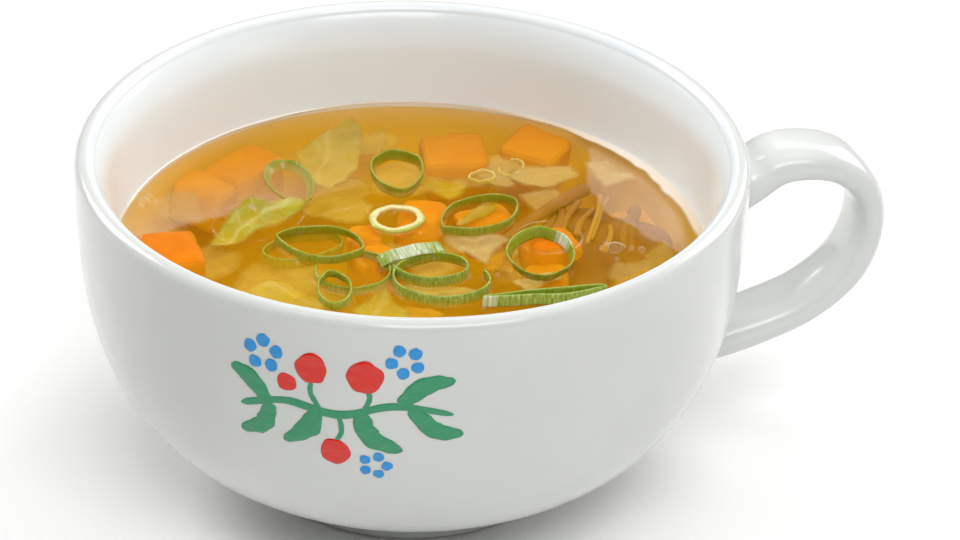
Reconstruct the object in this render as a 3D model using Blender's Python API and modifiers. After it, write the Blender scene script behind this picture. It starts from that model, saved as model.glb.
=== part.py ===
"""Soup cup with a strap handle, filled with clear broth and floating garnish.

Metres, +Z up. The cup stands on the plane z = 0. The origin is the middle of
its footprint, handle included, so the bowl's own axis is a little way along -X.
"""
from math import cos, exp, hypot, pi, radians, sin

import bmesh
import bpy
from mathutils import Matrix, Vector

MM = 0.001

# Driving dimensions of the cup
CUP_HEIGHT = 62 * MM
BOWL_RADIUS = 57.5 * MM          # outside, just under the lip
HANDLE_REACH = 84 * MM           # from the bowl's axis to the back of the handle
LIP_THICKNESS = 3.6 * MM
WALL_THICKNESS = 6.0 * MM
WALL_GROWS_OVER = 8 * MM         # depth over which the lip thickens into the wall
BOWL_BOTTOM = 4.3 * MM           # where the outside curve would meet the axis
HEIGHT_POWER = 2.98              # these two powers shape the outside:
RADIUS_POWER = 3.39              # steep upper wall, full round bottom
FOOT_RADIUS = 28.2 * MM
FOOT_RING_WIDTH = 4.4 * MM
FOOT_RECESS = 3.0 * MM
FOOT_CHAMFER = 0.8 * MM

# Driving dimensions of the handle: route in the XZ plane, as (out from the axis, up)
HANDLE_ROUTE = [
    (54.4, 49.4), (57.5, 50.8), (65, 55.2), (74, 54.5), (79.9, 49.5),
    (81.1, 41.7), (78.4, 33.5), (71.7, 27), (63.5, 23.1), (54.5, 20.3), (46.8, 19),
]
HANDLE_WIDTH_AT_WALL = 12.6 * MM
HANDLE_WIDTH_AT_GRIP = 13.5 * MM
HANDLE_DEPTH_AT_WALL = 8.2 * MM
HANDLE_DEPTH_AT_GRIP = 5.8 * MM
HANDLE_SQUARENESS = 2.6          # 2 is an ellipse, more is a rounded rectangle

# Driving dimensions of the contents
BROTH_LEVEL = 43 * MM
GAP = 0.3 * MM                   # between pieces that touch in the real cup
POCKET_GAP = 0.35 * MM           # round garnish, a little more because walls curve
ONION_WALL = 0.8 * MM

ROUND_STEPS = 56
WALL_STEPS = 9
LIP_STEPS = 5
RING_STEPS = 22

BOWL_AXIS_X = (BOWL_RADIUS - HANDLE_REACH) / 2

# Spring onion cut across: (x, y) of the middle, from the bowl's axis, long and
# short size of the wall's mid line, turn about Z, top edge, height of the wall.
# pinch draws both ends to a point, egg widens one end, start and sweep leave a
# ring open, grow and drift wind it into a spiral.
SPRING_ONIONS = {
    "back_left": dict(at=(-18, 24.2), size=(13.6, 7.4), turn=98, top=43.6, tall=1.9, tilt=(0, 3)),
    "back": dict(at=(1.7, 24.4), size=(12.7, 8.7), turn=81, egg=0.23, top=44.2, tall=3.0),
    "pale": dict(at=(-1.1, 8.1), size=(8.4, 7.4), turn=36, top=43.7, tall=1.6, wall=1.7),
    "middle_right": dict(at=(12.9, 7.8), size=(14.2, 9.2), turn=29, pinch=0.15, top=44.2, tall=2.6),
    "middle_left": dict(at=(-15.6, 1.9), size=(15, 9.0), turn=157, pinch=0.5, egg=-0.2,
                        top=44.3, tall=2.5),
    "open_left": dict(at=(-11.8, -7.9), size=(12, 11.6), turn=0, start=48, sweep=-250,
                      top=42.9, tall=1.8),
    "curl": dict(at=(-15.9, -16), size=(10.8, 4.8), turn=85, top=45.4, tall=1.7, tilt=(0, 3)),
    "flattened": dict(at=(-0.3, -4.1), size=(9.6, 3.4), turn=16, egg=0.3, top=44.6, tall=2.6),
    "spiral": dict(at=(2.7, -14.6), size=(16.4, 12.6), turn=0, start=22, sweep=-520,
                   grow=-0.34, drift=(-2.2, 4.2), top=44.3, tall=2.5),
    "upright": dict(at=(21.1, -8.5), size=(14.8, 10.4), turn=81, pinch=0.2, top=45, tall=2.8),
    "folded": dict(at=(18.9, -22.3), size=(21, 2.6), turn=1, pinch=0.3, egg=0.2, top=45.4, tall=3.0),
    "front": dict(at=(-7, -36.5), size=(11.5, 9), turn=20, egg=0.2, top=44.1, tall=2.5),
    "front_right": dict(at=(24, -34.5), size=(12.5, 7.6), turn=145, pinch=0.2, top=44, tall=2.4),
}

# Carrot dice that breaks the surface, and the cabbage leaf that lies in it
CARROT_AT = (-41.4, 4.4)
CARROT_SIZE = (10.4, 12.4, 8.6)
CARROT_TURN = 4
CARROT_ROUNDING = 1.1 * MM
CARROT_PROUD = 0.3               # how far its top stands out of the broth, in mm
LEAF_AT = (-25.6, 10.8)
LEAF_SIZE = (17, 11)
LEAF_TURN = 38
LEAF_TILT = 11
LEAF_TOP = 42.6
LEAF_THICKNESS = 1.0 * MM
LEAF_LOBES = 5
LEAF_STEPS = 20


def collection(name):
    group = bpy.data.collections.new(name)
    bpy.context.scene.collection.children.link(group)
    return group


def linear(channel):
    return channel / 12.92 if channel <= 0.04045 else ((channel + 0.055) / 1.055) ** 2.4


def material(name, colour, roughness, transmission=0.0):
    finish = bpy.data.materials.new(name)
    finish.use_nodes = True
    shader = finish.node_tree.nodes["Principled BSDF"]
    rgb = [linear(int(colour[i:i + 2], 16) / 255) for i in (1, 3, 5)]
    shader.inputs["Base Color"].default_value = (*rgb, 1)
    shader.inputs["Roughness"].default_value = roughness
    shader.inputs["Metallic"].default_value = 0.0
    shader.inputs["Transmission Weight"].default_value = transmission
    return finish


def add_object(name, mesh, group, finish=None):
    piece = bpy.data.objects.new(name, mesh)
    group.objects.link(piece)
    piece.parent = bowl_axis
    if finish:
        mesh.materials.append(finish)
    mesh.shade_smooth()
    mesh.set_sharp_from_angle(angle=radians(40))
    return piece


def as_cutter(piece):
    piece.hide_render = True
    piece.display_type = "WIRE"
    return piece


def mesh_from(build):
    """A mesh made by build(bm)."""
    bm = bmesh.new()
    build(bm)
    mesh = bpy.data.meshes.new("shape")
    bm.to_mesh(mesh)
    bm.free()
    return mesh


# Turned shapes

def outside_of_bowl(turn):
    """Point (radius, height) of the bowl's outside; turn runs 0 at the lip to 90 degrees."""
    top = CUP_HEIGHT - LIP_THICKNESS / 2
    down = sin(turn) ** (2 / HEIGHT_POWER)
    radius = BOWL_RADIUS * max(cos(turn), 0) ** (2 / RADIUS_POWER)
    return Vector((radius, top - down * (top - BOWL_BOTTOM)))


def inside_of_bowl(turn, gap=0.0):
    """The outside moved in along its normal by the wall's thickness, and by a gap if any."""
    here = outside_of_bowl(turn)
    step = radians(0.5)
    along = outside_of_bowl(min(turn + step, pi / 2)) - outside_of_bowl(max(turn - step, 0))
    along.normalize()
    inward = Vector((along.y, -along.x))
    depth = CUP_HEIGHT - here.y
    wall = WALL_THICKNESS - (WALL_THICKNESS - LIP_THICKNESS) * exp(-depth / WALL_GROWS_OVER)
    point = here + inward * (wall + gap)
    point.x = max(point.x, 0)
    return point


def turned(name, profile, group, finish):
    """A solid of revolution; the profile runs down its outer side and ends on the axis."""
    def build(bm):
        points = [bm.verts.new((p[0], 0, p[1])) for p in profile]
        for first, second in zip(points, points[1:]):
            bm.edges.new((first, second))

    piece = add_object(name, mesh_from(build), group, finish)
    screw = piece.modifiers.new("turn", "SCREW")
    screw.steps = screw.render_steps = ROUND_STEPS
    screw.use_merge_vertices = True
    screw.merge_threshold = 0.00005
    return piece


def cup_profile():
    """From the inside's lowest point up over the lip, down the outside and under the foot."""
    turns = [pi / 2 * (i / WALL_STEPS) ** 0.8 for i in range(WALL_STEPS + 1)]
    inside = [inside_of_bowl(t) for t in turns]
    inside[-1].x = 0
    lip_radius = LIP_THICKNESS / 2
    middle = Vector((BOWL_RADIUS - lip_radius, CUP_HEIGHT - lip_radius))
    lip = [middle + lip_radius * Vector((-cos(a), sin(a)))
           for a in (pi * i / (LIP_STEPS + 1) for i in range(1, LIP_STEPS + 1))]
    outside = [p for p in map(outside_of_bowl, turns) if p.x > FOOT_RADIUS + 3 * MM]
    ring_inside = FOOT_RADIUS - FOOT_RING_WIDTH
    foot = [
        (FOOT_RADIUS + 0.6 * MM, 6.2 * MM),
        (FOOT_RADIUS, 2.5 * MM),
        (FOOT_RADIUS, FOOT_CHAMFER),
        (FOOT_RADIUS - FOOT_CHAMFER, 0),
        (ring_inside + FOOT_CHAMFER, 0),
        (ring_inside, FOOT_CHAMFER),
        (ring_inside - 0.6 * MM, FOOT_RECESS),
        (0, FOOT_RECESS),
    ]
    return inside[::-1] + lip + outside + foot


def broth_profile():
    """From the middle of the surface down the broth's side, a gap inside the wall."""
    turns = [pi / 2 * (i / (2 * WALL_STEPS)) ** 0.8 for i in range(2 * WALL_STEPS + 1)]
    side = [inside_of_bowl(t, GAP) for t in turns]
    above = [p for p in side if p.y >= BROTH_LEVEL][-1]
    below = [p for p in side if p.y < BROTH_LEVEL]
    share = (above.y - BROTH_LEVEL) / (above.y - below[0].y)
    edge = above.lerp(below[0], share)
    below[-1].x = 0
    return [(0, BROTH_LEVEL), edge] + below[1::2][:-1] + [below[-1]]


# Handle

def spline_point(points, place):
    """Smooth curve through the points; place runs from 0 to 1."""
    spans = len(points) - 1
    span = min(int(place * spans), spans - 1)
    t = place * spans - span
    p0, p1, p2, p3 = (Vector(points[min(max(span + i, 0), spans)]) for i in (-1, 0, 1, 2))
    return 0.5 * (2 * p1 + (p2 - p0) * t + (2 * p0 - 5 * p1 + 4 * p2 - p3) * t ** 2
                  + (3 * p1 - p0 - 3 * p2 + p3) * t ** 3)


def rounded_rectangle(width, depth, steps):
    for i in range(steps):
        a = 2 * pi * (i + 0.5) / steps
        power = 2 / HANDLE_SQUARENESS
        yield (width / 2 * abs(cos(a)) ** power * (1 if cos(a) > 0 else -1),
               depth / 2 * abs(sin(a)) ** power * (1 if sin(a) > 0 else -1))


def build_handle(bm, stations=26, around=14):
    """A loft of rounded rectangles along the route, thinner and wider at the grip."""
    rings = []
    for i in range(stations + 1):
        place = i / stations
        here = spline_point(HANDLE_ROUTE, place) * MM
        ahead = spline_point(HANDLE_ROUTE, min(place + 0.01, 1))
        along = (ahead - spline_point(HANDLE_ROUTE, max(place - 0.01, 0))).normalized()
        out = Vector((-along.y, along.x))
        grip = sin(pi * place)
        width = HANDLE_WIDTH_AT_WALL + (HANDLE_WIDTH_AT_GRIP - HANDLE_WIDTH_AT_WALL) * grip
        depth = HANDLE_DEPTH_AT_WALL + (HANDLE_DEPTH_AT_GRIP - HANDLE_DEPTH_AT_WALL) * grip
        rings.append([bm.verts.new((here.x + out.x * d, w, here.y + out.y * d))
                      for w, d in rounded_rectangle(width, depth, around)])
    for first, second in zip(rings, rings[1:]):
        for i in range(around):
            j = (i + 1) % around
            bm.faces.new((first[i], first[j], second[j], second[i]))
    bm.faces.new(rings[0])
    bm.faces.new(rings[-1][::-1])
    bmesh.ops.recalc_face_normals(bm, faces=bm.faces)


# Garnish

def ring_route(size, start=0, sweep=360, grow=0.0, drift=(0, 0), pinch=0.0, egg=0.0):
    """Points of a cut onion layer's mid line, in metres about its own middle."""
    steps = round(RING_STEPS * max(abs(sweep) / 360, 0.8))
    for i in range(steps + (abs(sweep) != 360)):
        k = i / steps
        a = radians(start + sweep * k)
        scale = 1 + grow * k
        side = sin(a) * abs(sin(a)) ** pinch * (1 + egg * cos(a))
        yield Vector((size[0] / 2 * cos(a) * scale + drift[0] * k,
                      size[1] / 2 * side * scale + drift[1] * k, 0)) * MM


def onion(name, group, finish, pocket=False, at=(0, 0), turn=0, top=0.0, tall=0.0,
          wall=ONION_WALL / MM, tilt=(0, 0), **shape):
    """A band standing on edge along the ring's route, or the pocket that clears it."""
    extra = POCKET_GAP if pocket else 0
    above = 3 * MM if pocket else 0

    def build(bm):
        route = list(ring_route(**shape))
        closed = abs(shape.get("sweep", 360)) == 360
        if pocket and not closed:
            route[0] += (route[0] - route[1]).normalized() * extra
            route[-1] += (route[-1] - route[-2]).normalized() * extra
        low = [bm.verts.new(p - Vector((0, 0, tall * MM + extra))) for p in route]
        ends = zip(low, low[1:] + low[:1]) if closed else zip(low, low[1:])
        edges = [bm.edges.new(pair) for pair in ends]
        raised = bmesh.ops.extrude_edge_only(bm, edges=edges)["geom"]
        verts = [g for g in raised if isinstance(g, bmesh.types.BMVert)]
        bmesh.ops.translate(bm, verts=verts, vec=(0, 0, tall * MM + extra + above))
        bmesh.ops.recalc_face_normals(bm, faces=bm.faces)

    piece = add_object(name, mesh_from(build), group, finish)
    piece.location = (at[0] * MM, at[1] * MM, top * MM)
    piece.rotation_euler = (radians(tilt[0]), radians(tilt[1]), radians(turn))
    thick = piece.modifiers.new("wall", "SOLIDIFY")
    thick.thickness = wall * MM + 2 * extra
    thick.offset = 0
    thick.use_even_offset = True
    return piece


def carrot(name, group, finish, pocket=False):
    extra = POCKET_GAP / MM if pocket else 0
    above = 3 if pocket else 0
    size = [s + 2 * extra for s in CARROT_SIZE[:2]] + [CARROT_SIZE[2] + extra + above]

    def build(bm):
        bmesh.ops.create_cube(bm, size=1)
        bmesh.ops.scale(bm, vec=[s * MM for s in size], verts=bm.verts)

    piece = add_object(name, mesh_from(build), group, finish)
    top = BROTH_LEVEL / MM + CARROT_PROUD + above
    piece.location = [v * MM for v in (*CARROT_AT, top - size[2] / 2)]
    piece.rotation_euler.z = radians(CARROT_TURN)
    if not pocket:
        rounding = piece.modifiers.new("rounding", "BEVEL")
        rounding.width = CARROT_ROUNDING
        rounding.segments = 2
    return piece


def leaf(name, group, finish, pocket=False):
    """A thin oval with a lobed edge, cupped across, its back edge at the surface."""
    extra = POCKET_GAP if pocket else 0

    def build(bm):
        bmesh.ops.create_circle(bm, cap_ends=True, cap_tris=True, segments=LEAF_STEPS, radius=1)
        for vert in bm.verts:
            reach = hypot(vert.co.x, vert.co.y)
            lobes = 1 + 0.07 * sin(LEAF_LOBES * pi * vert.co.x + 1)
            vert.co.x *= (LEAF_SIZE[0] / 2 * MM + extra) * lobes
            vert.co.y *= (LEAF_SIZE[1] / 2 * MM + extra) * lobes
            vert.co.z = 1.2 * MM * reach

    piece = add_object(name, mesh_from(build), group, finish)
    piece.location = [v * MM for v in (*LEAF_AT, LEAF_TOP)]
    piece.rotation_euler = (radians(LEAF_TILT), 0, radians(LEAF_TURN))
    thick = piece.modifiers.new("thickness", "SOLIDIFY")
    thick.thickness = LEAF_THICKNESS + 2 * extra
    thick.offset = 0
    return piece


for leftover in list(bpy.data.objects):
    bpy.data.objects.remove(leftover)

soup = collection("cup_of_vegetable_soup")
handle_cutter = collection("handle_stock")
pockets = collection("broth_pockets")

bowl_axis = bpy.data.objects.new("bowl_axis", None)
bowl_axis.location.x = BOWL_AXIS_X
soup.objects.link(bowl_axis)

porcelain = material("white_porcelain", "#E4E4E0", 0.15)
broth_liquid = material("clear_broth", "#C98A1E", 0.05, transmission=0.6)
green_onion = material("green_spring_onion", "#6E9420", 0.4)
pale_onion = material("pale_spring_onion", "#E2E4A0", 0.4)
carrot_flesh = material("boiled_carrot", "#F28C1E", 0.4)
cabbage_leaf = material("boiled_cabbage", "#CFC23E", 0.4)

cup = turned("soup_cup", cup_profile(), soup, porcelain)
strap = as_cutter(add_object("handle_strap", mesh_from(build_handle), handle_cutter))
join = cup.modifiers.new("handle", "BOOLEAN")
join.operation = "UNION"
join.object = strap

for place, shape in SPRING_ONIONS.items():
    onion("spring_onion_" + place, soup, pale_onion if place == "pale" else green_onion, **shape)
    as_cutter(onion("pocket_" + place, pockets, None, pocket=True, **shape))
carrot("carrot_at_surface", soup, carrot_flesh)
as_cutter(carrot("pocket_carrot", pockets, None, pocket=True))
leaf("cabbage_at_surface", soup, cabbage_leaf)
as_cutter(leaf("pocket_cabbage", pockets, None, pocket=True))

broth = turned("broth", broth_profile(), soup, broth_liquid)
cut = broth.modifiers.new("pockets", "BOOLEAN")
cut.operation = "DIFFERENCE"
cut.operand_type = "COLLECTION"
cut.collection = pockets
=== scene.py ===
import bisect
import math
import random

import bmesh
import bpy
from mathutils import Euler, Matrix, Vector, kdtree, noise


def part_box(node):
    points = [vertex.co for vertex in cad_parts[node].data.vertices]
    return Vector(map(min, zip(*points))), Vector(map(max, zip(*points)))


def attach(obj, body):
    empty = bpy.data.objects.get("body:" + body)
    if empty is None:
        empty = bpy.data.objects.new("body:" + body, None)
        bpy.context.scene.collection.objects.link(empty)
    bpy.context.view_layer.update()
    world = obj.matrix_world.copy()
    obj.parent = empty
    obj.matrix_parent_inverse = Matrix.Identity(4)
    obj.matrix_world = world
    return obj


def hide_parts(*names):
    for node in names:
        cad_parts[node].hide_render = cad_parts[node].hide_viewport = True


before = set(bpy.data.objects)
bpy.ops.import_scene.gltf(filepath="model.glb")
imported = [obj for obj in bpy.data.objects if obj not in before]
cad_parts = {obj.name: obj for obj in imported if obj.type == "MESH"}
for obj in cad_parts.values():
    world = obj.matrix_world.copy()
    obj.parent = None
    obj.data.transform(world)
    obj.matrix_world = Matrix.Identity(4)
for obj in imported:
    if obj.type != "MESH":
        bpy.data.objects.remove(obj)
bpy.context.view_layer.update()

mm = 0.001
up = Vector((0, 0, 1))
scene = bpy.context.scene

# The broth's solid gives the bowl's axis and the level that everything floats at.
brothLow, brothHigh = (Vector(corner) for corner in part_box("broth"))
axis = Vector(((brothLow.x + brothHigh.x) / 2, (brothLow.y + brothHigh.y) / 2, 0))
level = brothHigh.z


def say(text):
    print("soup:", text, flush=True)


# A mesh in metres about the bowl's axis becomes a piece that rides on the root.
def finishMesh(bm, name, finishes, replaces=()):
    bmesh.ops.translate(bm, verts=bm.verts, vec=axis)
    mesh = bpy.data.meshes.new(name)
    bm.to_mesh(mesh)
    bm.free()
    for finish in finishes:
        mesh.materials.append(finish)
    mesh.shade_smooth()
    piece = bpy.data.objects.new(name, mesh)
    scene.collection.objects.link(piece)
    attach(piece, "root")
    if replaces:
        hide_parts(*replaces)
    return piece


# A part with its own attributes is turned, put at its place in mm and joins a bigger mesh.
def addPart(bm, part, at, *degrees):
    place = Matrix.Translation(Vector(at) * mm) @ turned(*degrees).to_4x4()
    bmesh.ops.transform(part, matrix=place, verts=part.verts)
    mesh = bpy.data.meshes.new("part")
    part.to_mesh(mesh)
    part.free()
    bm.from_mesh(mesh)
    bpy.data.meshes.remove(mesh)


# A profile of (radius, height) in mm turned right round the bowl's axis.
def turnProfile(bm, profile, steps):
    verts = [bm.verts.new((p[0] * mm, 0, p[1] * mm)) for p in profile]
    edges = [bm.edges.new(pair) for pair in zip(verts, verts[1:])]
    bmesh.ops.spin(bm, geom=verts + edges, cent=(0, 0, 0), axis=(0, 0, 1), angle=2 * math.pi,
                   steps=steps, use_merge=True)
    bmesh.ops.remove_doubles(bm, verts=bm.verts, dist=1e-6)
    bmesh.ops.recalc_face_normals(bm, faces=bm.faces)


# Extrudes a section along stations, each a function from (across, up) to a point. Faces get a
# UV of (mm along, share of the way round the section).
def sweep(bm, section, stations, closed=False):
    turn = bm.verts.layers.int.get("turn") or bm.verts.layers.int.new("turn")
    along = bm.verts.layers.float.get("along") or bm.verts.layers.float.new("along")
    uv = bm.loops.layers.uv.get("UVMap") or bm.loops.layers.uv.new("UVMap")
    ring = [bm.verts.new(stations[0](*point)) for point in section]
    for i, vert in enumerate(ring):
        vert[turn] = i
    edges = [bm.edges.new((ring[i], ring[(i + 1) % len(ring)])) for i in range(len(ring))]
    firstEdges, travelled, made = edges, 0.0, []
    lastMiddle = sum((v.co for v in ring), Vector()) / len(ring)
    for station in stations[1:]:
        grown = bmesh.ops.extrude_edge_only(bm, edges=edges)["geom"]
        verts = [g for g in grown if isinstance(g, bmesh.types.BMVert)]
        edges = [g for g in grown if isinstance(g, bmesh.types.BMEdge)]
        made += [g for g in grown if isinstance(g, bmesh.types.BMFace)]
        for vert in verts:
            vert.co = station(*section[vert[turn]])
        middle = sum((v.co for v in verts), Vector()) / len(verts)
        travelled += (middle - lastMiddle).length
        lastMiddle = middle
        for vert in verts:
            vert[along] = travelled / mm
    if not closed:
        for loop in (firstEdges, edges):
            made += bmesh.ops.edgeloop_fill(bm, edges=loop)["faces"]
    count = len(section)
    for face in made:
        turns = [loop.vert[turn] for loop in face.loops]
        wraps = max(turns) - min(turns) > count / 2
        for loop in face.loops:
            place = loop.vert[turn] + (count if wraps and loop.vert[turn] < count / 2 else 0)
            loop[uv].uv = (loop.vert[along], place / count)
    if closed:
        bmesh.ops.remove_doubles(bm, verts=bm.verts, dist=1e-6)


# A point on a smooth curve through the given ones, 0 at the first and 1 at the last.
def curvePoint(points, place):
    spans = len(points) - 1
    span = min(int(place * spans), spans - 1)
    t = place * spans - span
    p0, p1, p2, p3 = (Vector(points[min(max(span + i, 0), spans)]) for i in (-1, 0, 1, 2))
    return 0.5 * (2 * p1 + (p2 - p0) * t + (2 * p0 - 5 * p1 + 4 * p2 - p3) * t ** 2
                  + (3 * p1 - p0 - 3 * p2 + p3) * t ** 3)


# A section between an ellipse, power 2, and a box.
def roundedSection(width, depth, power, steps):
    points = []
    for i in range(steps):
        a = 2 * math.pi * (i + 0.5) / steps
        points.append((width / 2 * math.copysign(abs(math.cos(a)) ** (2 / power), math.cos(a)),
                       depth / 2 * math.copysign(abs(math.sin(a)) ** (2 / power), math.sin(a))))
    return points


# A square grid's point, moved so that the grid becomes a disc.
def squareToDisc(point):
    u, v = point.xy
    return u * math.sqrt(1 - v * v / 2), v * math.sqrt(1 - u * u / 2)


# Degrees about x, y and z as a matrix.
def turned(*degrees):
    return Euler([math.radians(a) for a in degrees]).to_matrix()


def srgb(code):
    channels = [int(code[i:i + 2], 16) / 255 for i in (1, 3, 5)]
    linear = [c / 12.92 if c <= 0.04045 else ((c + 0.055) / 1.055) ** 2.4 for c in channels]
    return (*linear, 1.0)


# A material whose surface a function makes, from the nodes and the place on the piece.
def newMaterial(name, makeSurface, *settings):
    finish = bpy.data.materials.new(name)
    finish.use_nodes = True
    tree = finish.node_tree
    tree.nodes.clear()
    surface = makeSurface(tree, addNode(tree, "TexCoord", out="Object"), *settings)
    addNode(tree, "OutputMaterial", {"Surface": surface})
    return finish


# Adds one node and gives one of its outputs. An input is a number, a vector, a hex colour or a
# socket.
def addNode(tree, kind, inputs=None, out=0, **settings):
    node = tree.nodes.new("ShaderNode" + kind)
    for key, value in settings.items():
        setattr(node, key, value)
    for key, value in (inputs or {}).items():
        if isinstance(value, bpy.types.NodeSocket):
            tree.links.new(value, node.inputs[key])
        else:
            node.inputs[key].default_value = srgb(value) if isinstance(value, str) else value
    return node.outputs[out] if node.outputs else node


colourMix = dict(out=2, data_type="RGBA")     # a Mix node of colours: 0 is the share, 6 and 7 the two


# Noise as a share that goes from least at one level of it to most at another.
def patches(tree, place, scale, detail, low, high, least=0.0, most=1.0):
    cloud = addNode(tree, "TexNoise", {"Vector": place, "Scale": scale, "Detail": detail})
    return addNode(tree, "MapRange", {"Value": cloud, "From Min": low, "From Max": high,
                                      "To Min": least, "To Max": most})


# Clear vegetable broth, slightly cloudy: what lies deeper in it takes on its amber.
brothLook = dict(
    amber="#F4C20C",          # what deep broth looks like
    shallow="#EBD2A0",        # the wall just under the surface
    deepWall="#E2AC08",
    # mm of depth that takes about two thirds of a piece's own colour
    fog=dict(wall=2.2, deepWall=9.0, onion=4.0, carrot=8.0, leaf=4.0, mushroom=14.0),
    tint="#FDFCF9",           # what the surface lets through
    cloud=(0.1, 0.18),        # share of the surface that scatters light, least and most
    golden="#EEBA18",         # the clouds
    # the pale wall's reflection towards the handle, painted into the broth: a round patch, its middle
    # from the bowl's axis and radius, and the radius about the axis where it gives way to amber, in mm
    mirrored=dict(at=(68.4, 14), radius=33.3, waver=7, crisp=0.8, rim=(47.2, 48.8), least=0.3,
                  colour="#F2D6B2", share=0.13),
    brothHighlight="#F4ECE2",          # the thin painted highlight along the waterline, where the broth wets the wall
    # and the wall's reflection at the back, painted too: which way it lies, mm that way from the
    # bowl's axis to where it starts, is brightest and ends, and from left to right where it fades
    veil=dict(toward=(-0.29, 0.957, 0), reach=(21, 22.5, 40), across=(-22, 0), waver=6,
              colour="#E8C89E", share=0.19),
    # painted highlights, thin bright outlines where the broth climbs a piece: middle, size and width in mm
    climbHighlights=[dict(at=(24.1, -1.3), size=(11.6, 11.2), turn=0, width=0.4),
            dict(at=(-3.4, 11.9), size=(5, 4.2), turn=0, width=0.35),
            dict(at=(-25, 12), size=(19, 13), turn=38, width=0.5),
            dict(at=(34.2, -6.5), size=(4.6, 3.4), turn=20, width=0.4)],
    climbHighlightShare=0.5, climbWaver=0.2,
    ior=1.333, shine=0.4,
    around=320, across=112, acrossPower=1.25,
    intoWall=1.2,             # mm of it that are hidden in the wall
    # mm that it climbs the wall, and the slices, and within how far of them
    edge=0.4, edgeReach=0.7, rise=0.22, riseReach=0.6,
    brothHighlightFade=0.45,           # share of the painted highlight's width over which it grows pale
    # the painted highlight along the waterline: degrees round from the handle, width in mm and how pale it is
    brothHighlightWidths=[(-180, 0.5, 0.5), (-60, 0.5, 0.4), (-12, 0.8, 0.5), (0, 2.2, 0.8), (16, 2.6, 0.85),
                 (34, 1.7, 0.9), (52, 0.9, 0.8), (72, 0.5, 0.25), (92, 0.45, 0.5), (104, 0.5, 1.0),
                 (152, 0.5, 1.0), (163, 0.4, 0.6), (180, 0.5, 0.5)],
)


# A colour as it shows through the broth: its own down to the surface, then ever more the deep one.
def throughBroth(tree, place, colour, deep, fogDepth):
    height = addNode(tree, "SeparateXYZ", {"Vector": place}, out="Z")
    depth = addNode(tree, "Math", {0: level, 1: height}, operation="SUBTRACT")
    sunk = addNode(tree, "Math", {0: depth, 1: 0.0}, operation="MAXIMUM")
    power = addNode(tree, "Math", {0: sunk, 1: -1 / (fogDepth * mm)}, operation="MULTIPLY")
    own = addNode(tree, "Math", {0: power}, operation="EXPONENT")
    return addNode(tree, "Mix", {0: own, 6: deep, 7: colour}, **colourMix)


cameraLook = dict(
    lens=124.5, distance=577.3, azimuth=-11.5, elevation=30.9, roll=1.76,
    aim=(11.7, -2.4, 38.0),     # mm from the bowl's axis
)


def makeCamera():
    look = cameraLook
    azimuth, elevation = math.radians(look["azimuth"]), math.radians(look["elevation"])
    back = Vector((math.sin(azimuth) * math.cos(elevation), -math.cos(azimuth) * math.cos(elevation),
                   math.sin(elevation)))
    camera = bpy.data.objects.new("camera", bpy.data.cameras.new("camera"))
    camera.data.lens = look["lens"]
    camera.data.clip_start = 0.01
    turn = back.to_track_quat("Z", "Y").to_matrix() @ turned(0, 0, look["roll"])
    place = axis + Vector(look["aim"]) * mm + back * look["distance"] * mm
    camera.matrix_world = Matrix.LocRotScale(place, turn, None)
    scene.collection.objects.link(camera)
    scene.camera = camera


lightLook = dict(
    sky="#FFFFFD", skyLight=0.06, skySeen=1.0, aimHeight=35,
    boxes=[   # place in mm from the bowl's axis, size in mm, power in watts
        dict(name="frontBox", at=(60, -640, 860), size=(700, 420), power=5.4),
        dict(name="backLeftBox", at=(-520, 560, 560), size=(420, 420), power=5.0),
        dict(name="backRightBox", at=(620, 380, 420), size=(460, 460), power=3.7),
        dict(name="rightBox", at=(700, -500, 220), size=(420, 380), power=0.45),
        dict(name="backBox", at=(240, 760, 760), size=(520, 300), power=0.8),
        dict(name="overheadBox", at=(60, -140, 900), size=(900, 700), power=3.0),
    ],
)


def makeLights():
    look = lightLook
    world = bpy.data.worlds.new("studio")
    scene.world = world
    world.use_nodes = True
    tree = world.node_tree
    tree.nodes.clear()
    seen = addNode(tree, "LightPath", out="Is Camera Ray")      # white to look at, yet it lights little
    strength = addNode(tree, "MapRange", {"Value": seen, "To Min": look["skyLight"],
                                          "To Max": look["skySeen"]})
    sky = addNode(tree, "Background", {"Color": look["sky"], "Strength": strength})
    addNode(tree, "OutputWorld", {"Surface": sky})
    for box in look["boxes"]:
        lamp = bpy.data.lights.new(box["name"], "AREA")
        lamp.shape = "RECTANGLE"
        lamp.size, lamp.size_y = (s * mm for s in box["size"])
        lamp.energy = box["power"]
        softBox = bpy.data.objects.new(box["name"], lamp)
        softBox.location = axis + Vector(box["at"]) * mm
        aim = axis + up * look["aimHeight"] * mm - softBox.location
        softBox.rotation_euler = aim.to_track_quat("-Z", "Y").to_euler()
        scene.collection.objects.link(softBox)


floorLook = dict(paper=("#F1F1F0", "#F3F3F2"), reach=0.6)     # metres each way


# Matt paper sweep, so nothing shows but soft shade.
def palePaper(tree, place):
    grain = addNode(tree, "TexNoise", {"Vector": place, "Scale": 40, "Detail": 4})
    dark, light = floorLook["paper"]
    colour = addNode(tree, "Mix", {0: grain, 6: dark, 7: light}, **colourMix)
    return addNode(tree, "BsdfPrincipled", {"Base Color": colour, "Roughness": 0.7})


def makeFloor():
    bm = bmesh.new()
    bmesh.ops.create_grid(bm, x_segments=1, y_segments=1, size=floorLook["reach"])
    mesh = bpy.data.meshes.new("floor")
    bm.to_mesh(mesh)
    bm.free()
    mesh.materials.append(newMaterial("palePaper", palePaper))
    floor = bpy.data.objects.new("floor", mesh)
    scene.collection.objects.link(floor)


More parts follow.
